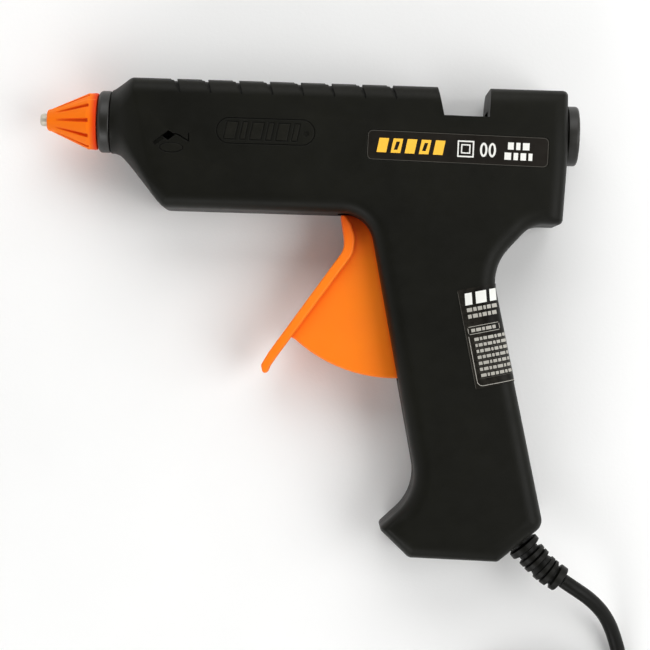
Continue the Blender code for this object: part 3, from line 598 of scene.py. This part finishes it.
def oval(x, y, wide, high, count=32):
    """An ellipse about (x, y), wide and high being its half axes."""
    found = []
    for step in range(count):
        turn = 2 * math.pi * step / count
        found.append((x + wide * math.cos(turn), y + high * math.sin(turn)))
    return found


def tilted(outline, at, tilt):
    """An outline in a panel's own axes, placed in the side view."""
    turn = Matrix.Rotation(math.radians(tilt), 2)
    return [tuple(Vector(at) + turn @ Vector(point)) for point in outline]


def scaled(outline, by):
    """An outline drawn in by a width all round, about its own middle."""
    middle = sum((Vector(p) for p in outline), Vector((0, 0))) / len(outline)
    found = []
    for point in outline:
        away = Vector(point) - middle
        x = middle.x + math.copysign(max(abs(away.x) - by, 0.1), away.x)
        y = middle.y + math.copysign(max(abs(away.y) - by, 0.1), away.y)
        found.append((x, y))
    return found


def smooth_route(points, per_span):
    """Points on the smooth curve (Catmull-Rom) through a route's own points."""
    knots = [Vector(p) for p in points]
    knots = [2 * knots[0] - knots[1]] + knots + [2 * knots[-1] - knots[-2]]
    found = []
    for before, start, end, after in zip(knots, knots[1:], knots[2:], knots[3:]):
        for step in range(per_span):
            t = step / per_span
            bend = 2 * before - 5 * start + 4 * end - after
            twist = 3 * start - before - 3 * end + after
            found.append(start + 0.5 * (t * (end - before) + t * t * bend + t ** 3 * twist))
    return found + [knots[-2]]


# ---------------------------------------------------------------- cord and plug

def coil_path():
    """Turns in along the ground, a step up, and as many turns out on top of them."""
    points = []
    count = COIL_PER_TURN * COIL_TURNS
    drop = COIL_PITCH * COIL_TURNS
    for step in range(count + 1):
        share = step / count
        points.append((-360 * COIL_TURNS * share, COIL_LAST_R - drop * share, COIL_LOW))
    for step in range(1, COIL_RISE_STEPS + 1):
        share = step / COIL_RISE_STEPS
        ease = share * share * (3 - 2 * share)
        points.append((-COIL_RISE_TURN * share, COIL_LAST_R - drop, COIL_LOW + (COIL_UP - COIL_LOW) * ease))
    for step in range(1, count + 1):
        share = step / count
        turn = -COIL_RISE_TURN - 360 * COIL_TURNS * share
        points.append((turn, COIL_LAST_R - drop + drop * share, COIL_UP))
    found = []
    for angle, radius, z in points:
        a = math.radians(angle)
        found.append(Vector((COIL_AT[0] + radius * math.cos(a), COIL_AT[1] + radius * math.sin(a), z)))
    return found


def cord_path():
    """The cord's centre line, from the boot by way of its coil to the plug."""
    y = COIL_AT[1] - COIL_LAST_R
    lead = [(COIL_AT[0] + x, y, z) for x, z in PLUG_ROUTE]
    return smooth_route(CORD_ROUTE, 4) + coil_path() + smooth_route(lead, 4)


def add_cord():
    points = cord_path()
    curve = bpy.data.curves.new("mains_cord", "CURVE")
    curve.dimensions = "3D"
    curve.bevel_depth = CORD_R * MM
    curve.bevel_resolution = 6
    curve.use_fill_caps = True
    spline = curve.splines.new("POLY")
    spline.points.add(len(points) - 1)
    for point, place in zip(spline.points, points):
        point.co = (*(place * MM), 1)
    spline.use_smooth = True
    curve.materials.append(RUBBER)
    cord = bpy.data.objects.new("mains_cord", curve)
    SCENE.collection.objects.link(cord)
    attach(cord, "housing")
    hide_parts("cord", "cord_coil", "cord_plug_lead")
    length = sum((b - a).length for a, b in zip(points, points[1:])) * MM
    return cord, points[0] * MM, length


def add_plug():
    y, z, x0 = COIL_AT[1] - COIL_LAST_R, PLUG_HIGH / 2, COIL_AT[0]
    start, end = x0 + PLUG_BODY_FROM, x0 + PLUG_BODY_FROM - PLUG_BODY_LONG
    half = PLUG_HALF_WIDE
    corners = [(start, y + 6, 2), (start - 9, y + half, 3), (end, y + half, 1.5)]
    corners += [(end, y - half, 1.5), (start - 9, y - half, 3), (start, y - 6, 2)]
    shell = cushion(corners, 0.0, PLUG_HIGH, 2.2, 6)
    grips = []
    for number in range(PLUG_GRIPS):
        x = end + 8 + 3.2 * number
        for side in (-1, 1):
            edge = y + side * half
            outline = [(x - 0.7, edge - 1), (x + 0.7, edge - 1), (x + 0.7, edge + 1), (x - 0.7, edge + 1)]
            grips.append(prism(outline, -1, PLUG_HIGH + 1))
    shell = cut(shell, *grips)
    tail = [(start - 4, 5.4), (start + 0.5, 5.4)]
    for number in range(PLUG_TAIL_RIBS):
        x = start + 1.4 + 2.4 * number
        radius = 4.9 - 0.32 * number
        tail += [(x, radius - 0.9), (x + 0.2, radius), (x + 1.4, radius), (x + 1.6, radius - 0.9)]
    tail += [(x0 - 30.6, 3.3), (x0 - 30.4, 2.9)]
    tail = ring_of(tail, (0, y, z), steps=40, solid=True)
    mesh = joined("mains_plug", shell, tail)
    found = [piece("mains_plug", mesh, RUBBER, "housing", ["plug_body"])]
    profile = [(PLUG_PIN_LONG, 0.9), (PLUG_PIN_LONG - 0.25, 1.5), (PLUG_PIN_LONG - 0.9, PLUG_PIN_R),
               (9.4, PLUG_PIN_R), (9.4, PLUG_PIN_R), (0, PLUG_PIN_R)]
    for number, side in enumerate((-1, 1)):
        mesh = ring_of(profile, (end - 0.3, y + side * PLUG_PIN_SPACING / 2, z), (-1, 0, 0), 36, solid=True)
        found.append(piece(f"plug_pin_metal_{number + 1}", mesh, BRASS, "housing",
                           [f"plug_pin_{number + 1}"]))
    return found


CORD, CORD_START, CORD_LENGTH = add_cord()
PLUG = add_plug()


# ---------------------------------------------------------------- boot

BOOT_AT = (81.6, -78.8)
BOOT_ANGLE = -49.8
BOOT_SPINE = [(0.0, 0.0), (2.2, -2.6), (6.0, -6.7), (10.8, -11.2), (15.0, -13.9), (18.2, -16.2)]


def swept(spine, profile, steps=40, z=MID):
    """A round body whose radius follows profile (distance, radius) along a spine of (x, y) points."""
    places = smooth_route([(BOOT_AT[0] + x, BOOT_AT[1] + y, z) for x, y in spine], 12)
    lengths = [0.0]
    for a, b in zip(places, places[1:]):
        lengths.append(lengths[-1] + (b - a).length)
    rings = []
    for distance, radius in profile:
        number = 0
        while number < len(lengths) - 2 and lengths[number + 1] < distance:
            number += 1
        share = (distance - lengths[number]) / (lengths[number + 1] - lengths[number])
        centre = places[number].lerp(places[number + 1], share)
        way = (places[min(number + 2, len(places) - 1)] - places[max(number - 1, 0)]).normalized()
        across = Vector((-way.y, way.x, 0))
        ring = []
        for step in range(steps):
            a = 2 * math.pi * step / steps
            ring.append(centre + across * radius * math.cos(a) + Vector((0, 0, radius * math.sin(a))))
        rings.append(ring)
    return loft(rings, angle=45)


def boot_profile():
    """A round flange, two close pairs of discs and an end disc, with deep grooves between them."""
    profile = [(0.2, 4.4), (1.9, 4.4), (2.0, 5.5), (2.4, 6.05), (4.3, 6.05), (4.7, 5.5), (4.8, 4.1)]
    profile.append((6.5, 4.0))
    for start, radius in ((6.6, 5.45), (9.1, 5.45), (13.1, 5.3), (15.6, 5.2)):
        end = start + 2.2
        profile += [(start, radius - 0.6), (start + 0.3, radius), (end - 0.3, radius - 0.05)]
        profile += [(end, radius - 0.6), (end + 0.05, radius - 1.2), (end + 0.25, radius - 1.2)]
    profile += [(18.8, 3.8), (18.9, 4.6), (19.2, 5.1), (21.3, 5.0), (21.7, 4.6), (21.9, 3.5), (22.0, 2.9)]
    return profile


piece("cord_boot", swept(BOOT_SPINE, boot_profile()), RUBBER, "housing", ["strain_relief"])


# ---------------------------------------------------------------- housing

def slab(side, start, reach, inset, rounding, steps=12, lip=0.0):
    """The side view from start to reach above the middle plane on one side, its far edge softly rounded.

    A lip is how far the wall stands back below start, down to the middle plane, as at a parting line.
    """
    rings = [[(x, y, MID + side * start) for x, y in filleted(SIDE_VIEW, inset)]]
    if lip:
        for height in (start, LIP_GAP):
            rings.insert(0, [(x, y, MID + side * height) for x, y in filleted(SIDE_VIEW, inset + lip)])
    for step in range(steps + 1):
        angle = math.radians(90 * step / steps)
        across = math.cos(angle) ** (2 / EDGE_POWER) if step < steps else 0.0
        high = math.sin(angle) ** (2 / EDGE_POWER)
        outline = filleted(SIDE_VIEW, inset + rounding * (1 - across))
        rings.append([(x, y, MID + side * (reach - rounding * (1 - high))) for x, y in outline])
    return loft(rings)


def nose(inset, steps=16):
    """The nose, from a round front to the full body behind its slanting crease, and room for the rest."""
    rings = []
    for top_x, top_y, low_x, low_y, half_wide, corner in smooth_route(NOSE_RINGS + [NOSE_BEYOND], 3):
        top, low = Vector((top_x + inset, top_y - inset)), Vector((low_x + inset, low_y + inset))
        middle, half_high = (top + low) / 2, (top - low).length / 2
        up = (top - low).normalized()
        bend = min(corner - inset, half_high, half_wide - inset)
        ring = []
        for side_z, side_y, first in ((1, 1, 0), (-1, 1, 90), (-1, -1, 180), (1, -1, 270)):
            centre = middle + up * side_y * (half_high - bend)
            for step in range(steps + 1):
                angle = math.radians(first + 90 * step / steps)
                place = centre + up * bend * math.sin(angle)
                z = MID + side_z * (half_wide - inset - bend) + bend * math.cos(angle)
                ring.append((place.x, place.y, z))
        rings.append(ring)
    spread_y, spread_z = NOSE_CUTTER_SPREAD
    wide = []
    for x, y, z in rings[-1]:
        high = BARREL_MID_Y + (y - BARREL_MID_Y) * spread_y
        wide.append((x + NOSE_CUTTER_LEAD, high, MID + (z - MID) * spread_z))
    far = [(NOSE_CUTTER_END_X, y, z) for _, y, z in wide]
    return loft(rings + [wide, far])


def plate_corners(inset):
    tilt = Matrix.Rotation(math.radians(PLATE_TILT), 2)
    corners = []
    for x, y in ((-1, -1), (1, -1), (1, 1), (-1, 1)):
        spot = Vector((x * (PLATE_LONG / 2 - inset), y * (PLATE_HIGH / 2 - inset)))
        place = Vector(PLATE_AT) + tilt @ spot
        corners.append((place.x, place.y, PLATE_CORNER_R - inset))
    return corners


def groove_cutters(side):
    """Steps across the top edge, and the thin lines that carry them round and down the side."""
    wedges, lines = [], []
    low, high = sorted((MID - side, MID + side * (HALF + 2)))
    for number in range(GROOVES):
        x = GROOVE_FIRST_X - GROOVE_PITCH * number
        wedge = [(x + 0.3, TOP_Y + 1), (x - 2.4, TOP_Y + 1), (x - 2.3, TOP_Y), (x - 1.8, TOP_Y - 0.65),
                 (x - 0.3, TOP_Y - 0.9), (x + 0.25, TOP_Y - 0.6), (x + 0.3, TOP_Y)]
        wedges.append(prism(wedge, low, high))
        line = [(x + 0.3, TOP_Y + 1), (x - 0.9, TOP_Y + 1), (x - 0.9, TOP_Y - 0.7), (x + 0.1, TOP_Y - 3.4)]
        line += [(x + 1.4, TOP_Y - 5.5), (x + 1.8, TOP_Y - 5.3), (x + 1.2, TOP_Y - 3.2)]
        line.append((x + 0.3, TOP_Y - 0.7))
        lines.append(prism(line, low, high))
    return wedges, lines


def pill_outline(inset):
    half_long, half_high = PILL_LONG / 2 - inset, PILL_HIGH / 2 - inset
    corners = []
    for x, y in ((-1, -1), (1, -1), (1, 1), (-1, 1)):
        corners.append((PILL_AT[0] + x * half_long, PILL_AT[1] + y * half_high, half_high - 0.01))
    return filleted(corners, 0.0, 6)


def housing_half(side):
    """One half of the clamshell, hollow, with its own cut-outs."""
    shell = slab(side, SPLIT_GAP / 2, HALF, 0.0, EDGE_ROUND, lip=LIP_BACK)
    shell = cut(shell, nose(0.0), operation="INTERSECT")
    cavity = slab(side, -1.0, HALF - WALL, WALL, EDGE_ROUND - WALL, 4)
    cavity = cut(cavity, nose(WALL, 6), operation="INTERSECT")
    cavity = cut(cavity, prism(NOTCH_WALLS, -2, ABOVE))
    turn = math.radians(BOOT_ANGLE)
    cutters = [
        cavity,
        prism(TRIGGER_SLOT, MID - TRIGGER_SLOT_HALF, MID + TRIGGER_SLOT_HALF),
        prism(NOTCH, -2, ABOVE),
        prism(NOTCH_WELL, MID - NOTCH_WELL_HALF, MID + NOTCH_WELL_HALF),
        rod(NOSE_BORE_R, -80, -66, (0, STICK_Y, MID), (1, 0, 0)),
        rod(INLET_BORE_R, 86, 100, (0, STICK_Y, MID), (1, 0, 0)),
        rod(BOOT_BORE_R, -6, 6, (*BOOT_AT, MID), (math.cos(turn), math.sin(turn), 0)),
    ]
    wedges, lines = groove_cutters(side)
    core = slab(side, -3.0, HALF - 0.8, 0.8, EDGE_ROUND - 0.8, 8)
    lines = [cut(line, core.copy()) for line in lines]
    cutters += wedges + lines
    if side > 0:
        mark_z = WIDTH - MARK_DEEP
        cutters.append(prism(filleted(plate_corners(0.0)), PLATE_BED_Z, ABOVE))
        cutters.append(prism(SOCKET_HOLE, 30.5, ABOVE))
        cutters += [prism(outline, WIDTH - 0.8, ABOVE) for outline in SOCKET_ARMS]
        cutters.append(band(oval(*SOCKET_LENS), oval(*SOCKET_LENS_INNER), mark_z, ABOVE))
        cutters.append(band(pill_outline(0.0), pill_outline(0.32), WIDTH - 0.3, ABOVE))
        for x, long in PILL_BLOCKS:
            mark = bar(x, -3.4, long, 6.8, 1.1)
            outer, inner = tilted(mark, PILL_AT, PILL_TILT), tilted(scaled(mark, 0.42), PILL_AT, PILL_TILT)
            cutters.append(band(outer, inner, mark_z, ABOVE))
        cutters.append(rod(PILL_DOT_R, WIDTH - 0.35, ABOVE, PILL_DOT, steps=32))
    else:
        for x, y in SCREWS:
            cutters.append(rod(SCREW_HOLE_R, -1, SCREW_HOLE_DEEP, (x, y, 0)))
    return cut(shell, *cutters)


def add_housing():
    piece("body_left", housing_half(1), BODY, "housing", ["housing_left"])
    piece("body_right", housing_half(-1), BODY, "housing", ["housing_right"])


add_housing()


# ---------------------------------------------------------------- front end

def add_collar():
    profile = [(-73.7, 7.2), (-73.7, 11.0), (-73.95, 11.3), (-74.4, 11.4), (-76.6, 11.4), (-77.2, 11.3),
               (-77.7, 10.95), (-78.05, 10.5), (-78.2, 10.1), (-78.2, 7.2)]
    mesh = ring_of(profile, steps=96, angle=50)
    piece("nose_collar", mesh, GLOSS, "housing", ["front_collar"])


FLUTES = 11
FLUTE_TURN = -3.0
FLUTE_FROM_X = -81.4
FLUTE_TO_X = -94.2
FLUTE_DEEP = 1.3
CONE_BACK = (-82.2, 10.3)
CONE_TIP = (-96.0, 4.1)
CONE_MOST_R = 10.34
SKIRT = {-78.5: 9.7, -78.55: 10.1, -78.9: 10.4, -79.3: 10.45, -79.9: 10.42, -80.5: 10.38, -81.2: 10.34}
SLEEVE_LIP = {-95.9: 4.12, -96.5: 4.05, -96.9: 3.9, -97.25: 3.65, -97.4: 3.35}
SLEEVE_BORE = [(-97.4, 2.75), (-96.3, 2.75), (-95.3, 3.1), (-82.4, 8.5), (-78.5, 8.5)]


def sleeve_radius(x, angle):
    """Outer radius of the fluted sleeve at x, angle degrees round from facing its left side."""
    (back_x, back_r), (tip_x, tip_r) = CONE_BACK, CONE_TIP
    body = min(CONE_MOST_R, back_r - (back_r - tip_r) * (x - back_x) / (tip_x - back_x))
    pitch = 360 / FLUTES
    off = abs((angle - FLUTE_TURN + pitch / 2) % pitch - pitch / 2)
    along = (x - FLUTE_FROM_X) / (FLUTE_TO_X - FLUTE_FROM_X)
    if not 0 <= along <= 1:
        return body
    half_wide = 0.55 * (1 - 0.7 * along) + 0.12
    reach = math.radians(off) * body
    wall = min(max((half_wide + 0.15 - reach) / 0.3, 0.0), 1.0)
    wall = wall * wall * (3 - 2 * wall)
    blunt = min(along / 0.045, 1.0)
    depth = FLUTE_DEEP * (1 - along) ** 0.6
    return body - depth * wall * blunt


def add_sleeve():
    fixed = SKIRT | SLEEVE_LIP
    stations = [*SKIRT, FLUTE_FROM_X, -81.55, -81.7, -81.9, -82.1, -82.3, -82.6]
    stations += [-83.0 - 0.5 * step for step in range(23)]
    stations += [-94.4, -94.8, -95.3, *SLEEVE_LIP]
    count = FLUTES * 36
    rings = []
    for step in range(count):
        degrees = 360 * step / count
        a = math.radians(degrees)
        ring = [(x, fixed.get(x) or sleeve_radius(x, degrees)) for x in stations] + SLEEVE_BORE
        rings.append([(x, STICK_Y + r * math.sin(a), MID + r * math.cos(a)) for x, r in ring])
    mesh = loft(rings, closed=True, angle=60)
    piece("tip_sleeve", mesh, SLEEVE, "housing", ["nozzle_sleeve"], flat_faces=False)


def add_nozzle():
    profile = [(-80.3, 8.2), (-82.5, 8.2), (-95.3, 2.75), (-96.6, 2.5), (-97.6, 2.4), (-99.1, 2.3),
               (-99.6, 2.15), (-99.9, 1.85), (-100.0, 1.5), (-100.0, 1.1), (-99.7, 0.8), (-89.6, 0.8),
               (-89.3, 2.9), (-80.3, 2.9)]
    mesh = ring_of(profile, steps=64, angle=40)
    piece("tip", mesh, TIP, "housing", ["nozzle"])


def add_inlet():
    profile = [(67.0, 7.4), (67.0, 9.0), (94.2, 9.0), (94.2, 10.7), (94.35, 10.95), (94.6, 11.0)]
    profile += [(97.2, 11.0), (97.8, 10.85), (98.15, 10.5), (98.3, 10.1), (98.3, 9.0), (98.15, 8.4)]
    profile += [(97.7, 7.6), (96.7, 6.8), (95.4, 6.35), (94.2, 6.2), (69.5, 6.2)]
    mesh = ring_of(profile, steps=96, angle=50)
    piece("inlet_guide", mesh, GLOSS, "housing", ["stick_inlet_guide"])


add_collar()
add_sleeve()
add_nozzle()
add_inlet()


# ---------------------------------------------------------------- trigger

BLADE = [
    (11.9, 38.7, 0.6), (13.2, 31.5, 6.0), (13.8, 26.4, 8.0), (-13.0, -12.5, 4.0), (-15.6, -17.2, 1.5),
    (-14.9, -20.2, 1.2), (-13.2, -20.0, 1.0), (-12.2, -17.5, 1.5), (-9.4, -13.2, 3.0), (17.0, 24.6, 8.0),
    (17.5, 30.5, 7.0), (15.8, 35.4, 4.0), (13.6, 38.7, 0.6),
]


def web_corners():
    """The web behind the blade: its front edge, an arc about the pivot, and its back."""
    corners = [(13.0, 38.9, 0.4), (15.2, 35.0, 0.5), (16.2, 28.0, 1.0), (14.7, 23.0, 3.0), (-5.9, -6.2, 0.4)]
    for step in range(SECTOR_STEPS + 1):
        angle = math.radians(SECTOR_FROM + (SECTOR_TO - SECTOR_FROM) * step / SECTOR_STEPS)
        corners.append((PIVOT[0] + SECTOR_R * math.cos(angle), PIVOT[1] + SECTOR_R * math.sin(angle), 0.4))
    return corners + [(39.0, 33.0, 0.5), (38.0, 38.9, 0.5)]


def add_trigger():
    web = cushion(web_corners(), MID - WEB_THICK / 2, MID + WEB_THICK / 2, TRIGGER_EDGE, 4)
    rim = cushion(BLADE, MID - BLADE_WIDE / 2, MID + BLADE_WIDE / 2, TRIGGER_EDGE, 5)
    way = (Vector(DRIVE_PIN_AT) - Vector(PIVOT)).normalized()
    side = Vector((way.y, -way.x))

    def arm(outline, low, high):
        """A prism of points given as (distance up the fork from the pivot, distance across it)."""
        places = [Vector(PIVOT) + way * r + side * across for r, across in outline]
        return prism([(p.x, p.y) for p in places], low, high)

    fork = arm(FORK, MID - FORK_HALF, MID + FORK_HALF)
    slot = arm(FORK_SLOT, 0, WIDTH)
    bore = rod(PIVOT_BORE_R, 5, 30, (*PIVOT, 0))
    mesh = cut(cut(web, rim, fork, operation="UNION"), slot, bore)
    piece("finger_trigger", mesh, TRIGGER, "trigger", ["trigger"])


add_trigger()


# ---------------------------------------------------------------- plate and sticker

def on_plate(outline):
    return tilted(outline, PLATE_AT, PLATE_TILT)


def add_plate():
    mesh = cushion(plate_corners(0.15), *PLATE_Z, 0.12, 3, top_only=True)
    piece("side_plate", mesh, PLATE, "housing", ["name_plate"])
    low, high = PLATE_PRINT_Z
    yellow, white = [], []
    for number in range(5):
        mark = bar(-29.4 + 5.1 * number, -2.6, 3.5, 5.2, 0.9)
        if number % 2:
            yellow.append(band(on_plate(mark), on_plate(scaled(mark, 1.1)), low, high))
        else:
            yellow.append(prism(on_plate(mark), low, high))
    for half, line in ((3.0, 0.5), (1.7, 0.45)):
        outer = bar(2.8 - half, -half, 2 * half, 2 * half)
        inner = bar(2.8 - half + line, line - half, 2 * (half - line), 2 * (half - line))
        white.append(band(on_plate(outer), on_plate(inner), low, high))
    for x in (9.3, 12.4):
        white.append(band(on_plate(oval(x, 0, 1.35, 2.6)), on_plate(oval(x, 0, 0.6, 1.8)), low, high))
    for x, y, lengths in ((18.0, 0.5, (2.1, 1.5, 2.4)), (16.9, -3.2, (2.4, 1.6, 2.0, 1.4))):
        for long in lengths:
            white.append(prism(on_plate(bar(x, y, long, 2.6)), low, high))
            x += long + 0.9
    piece("plate_print_yellow", joined("print", *yellow), YELLOW_INK, "housing", flat_faces=False)
    piece("plate_print_white", joined("print", *white), WHITE_INK, "housing", flat_faces=False)
    # Painted highlight: a lighter line round the plate's edge, standing for its bevel catching the light.
    edge = band(filleted(plate_corners(0.2)), filleted(plate_corners(0.42)), low, high)
    piece("plate_edge_painted_highlight", edge, FAINT_INK_AND_RIM_HIGHLIGHT, "housing", flat_faces=False)


def wrapped(outlines, low, high):
    """Outlines of the side view laid on the body's surface, from low to high above it."""
    patch = cut(slab(1, 4.0, HALF + high, -high, EDGE_ROUND + high),
                slab(1, 0.0, HALF + low, -low, EDGE_ROUND + low))
    meshes = [prism(outline, 15, WIDTH + 4) for outline in outlines]
    return cut(patch, joined("outlines", *meshes), operation="INTERSECT")


def grip_place(u, v):
    """A point of the sticker: u along its rows to the rear, v up the grip from its lowest front corner."""
    foot = Vector(LABEL_REGION[1])
    along = (Vector(LABEL_REGION[0]) - foot).normalized()
    place = foot + along * v + Vector((along.y, -along.x)) * u
    return place.x, place.y


def grip_bar(u, v, long, high, slant=0.0):
    return [grip_place(x, y) for x, y in bar(u, v, long, high, slant)]


def grip_line(u, v, top, line, bend, end=30.0):
    """A line down the sticker from top, round its lowest corner and along its foot, as one outline."""
    outer, inner = [(u, top)], [(u + line, top)]
    for step in range(9):
        turn = math.radians(180 + 90 * step / 8)
        c, s = math.cos(turn), math.sin(turn)
        outer.append((u + bend + bend * c, v + bend + bend * s))
        inner.append((u + bend + (bend - line) * c, v + bend + (bend - line) * s))
    outer.append((end, v))
    inner.append((end, v + line))
    return [grip_place(x, y) for x, y in outer + inner[::-1]]


def add_sticker():
    film = wrapped([LABEL_REGION], *LABEL_FILM)
    piece("grip_sticker", film, STICKER, "housing", ["rating_label"])
    white, grey, faint = [], [], []
    for number, long in enumerate((2.6, 3.9, 2.6, 3.9)):
        u = 2.0 + 4.55 * number - 0.6 * (number % 2)
        white.append(grip_bar(u, 30.5, long, 4.3, 0.5))
    for v, lengths in ((28.0, (1.9, 1.2, 1.6, 0.9, 1.4, 1.9)), (25.6, (1.3, 1.8, 0.9, 1.5, 1.1, 1.7))):
        u = 2.2
        for long in lengths:
            grey.append(grip_bar(u, v, long, 1.4))
            u += long + 0.45
    grey.append(grip_line(1.0, 0.8, 19.2, 0.2, 2.0))
    for v in (19.8, 22.5):
        grey.append(grip_bar(1.6, v, 11.0, 0.18))
    for u in (1.2, 12.7):
        grey.append(grip_bar(u, 20.3, 0.18, 1.9))
    u = 2.4
    for long in (1.4, 1.8, 1.0, 2.0, 1.2):
        grey.append(grip_bar(u, 20.6, long, 1.2))
        u += long + WORD_GAP
    for row in range(7):
        v = 17.25 - 2.2 * row
        u = 2.9
        for number in range(9):
            long = WORDS[(number + 4 * row) % len(WORDS)]
            grey.append(grip_bar(u, v, long, 1.15))
            u += long + WORD_GAP
        faint.append(grip_bar(2.4, v - 0.6, 26.0, 0.14))
    faint.append(grip_bar(0.06, 0.3, 0.2, 35.6))
    prints = (("white", white, WHITE_INK), ("grey", grey, GREY_INK), ("faint", faint, FAINT_INK_AND_RIM_HIGHLIGHT))
    for name, outlines, ink in prints:
        mesh = wrapped(outlines, *LABEL_INK)
        piece("sticker_print_" + name, mesh, ink, "housing", flat_faces=False)


add_plate()
add_sticker()


# ---------------------------------------------------------------- carried-over CAD nodes

def add_valve_spring():
    """The valve's spring, as one fixed CAD mesh; in the gun it is pressed together as the ball slides
    towards the tip.
    """
    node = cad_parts["check_spring"]
    mesh = node.data.copy()
    mesh.transform(node.matrix_world)
    spring = piece("valve_spring", mesh, STEEL, "housing", ["check_spring"], flat_faces=False)
    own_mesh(spring)


add_valve_spring()

CARRIED = {
    "heating_chamber": ALUMINIUM,
    "ptc_heater": CERAMIC,
    "heater_electrode_1": BRASS,
    "heater_electrode_2": BRASS,
    "heater_insulator": AMBER,
    "front_insulator": CERAMIC,
    "feed_throat": SILICONE,
    "throat_clamp": STEEL,
    "check_ball": STEEL,
    "trigger_pin": STEEL,
    "return_spring": STEEL,
    "spring_post": STEEL,
    "lead_live": BROWN,
    "lead_neutral": BLUE,
    "splice_live": NYLON,
    "splice_neutral": NYLON,
    "core_live": BROWN,
    "core_neutral": BLUE,
    "cord_tail": RUBBER,
    "cord_clamp": NYLON,
    "cord_clamp_screw_1": STEEL,
    "cord_clamp_screw_2": STEEL,
    "feed_carriage": NYLON,
    "drive_pin": STEEL,
    "jaw_pin": STEEL,
    "jaw_spring": STEEL,
    "stick_jaw": STEEL,
}
for number in range(len(SCREWS)):
    CARRIED[f"housing_screw_{number + 1}"] = STEEL
for node, material in CARRIED.items():
    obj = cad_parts[node]
    for slot in obj.material_slots:
        slot.material = material


# ---------------------------------------------------------------- stage and light

def add_stage():
    mesh = bpy.data.meshes.new("floor")
    body = bmesh.new()
    bmesh.ops.create_grid(body, x_segments=1, y_segments=1, size=1.5)
    body.to_mesh(mesh)
    body.free()
    mesh.materials.append(FLOOR)
    floor = keep("floor", mesh)
    floor.location.z = -0.0002


def area_light(name, place, size, power):
    """A rectangular light at a place in metres, turned to the origin."""
    data = bpy.data.lights.new(name, "AREA")
    data.shape = "RECTANGLE"
    data.size, data.size_y = size
    data.energy = power
    light = bpy.data.objects.new(name, data)
    SCENE.collection.objects.link(light)
    light.location = place
    light.rotation_mode = "QUATERNION"
    light.rotation_quaternion = (Vector((0, 0, 0)) - Vector(place)).to_track_quat("-Z", "Y")


def add_lights():
    area_light("light_top_edge", (0.0, 0.7, 0.65), (1.1, 0.6), 4.7)
    area_light("light_rear", (0.65, -0.1, 0.75), (0.7, 0.6), 4.8)
    area_light("light_low_front", (-0.35, -0.8, 0.50), (0.8, 0.4), 3.4)
    world = bpy.data.worlds.new("studio")
    world.use_nodes = True
    nodes, links = world.node_tree.nodes, world.node_tree.links
    split = nodes.new("ShaderNodeSeparateXYZ")
    links.new(nodes.new("ShaderNodeTexCoord").outputs["Generated"], split.inputs["Vector"])
    fall = nodes.new("ShaderNodeMapRange")
    fall.interpolation_type = "SMOOTHSTEP"
    links.new(split.outputs["Z"], fall.inputs["Value"])
    for key, number in (("From Min", 0.35), ("From Max", 0.88), ("To Min", 0.9), ("To Max", 0.05)):
        fall.inputs[key].default_value = number
    background = nodes["Background"]
    background.inputs["Color"].default_value = (1.0, 1.0, 1.0, 1.0)
    links.new(fall.outputs["Result"], background.inputs["Strength"])
    SCENE.world = world
    SCENE.view_settings.view_transform = "Standard"


add_stage()
add_lights()
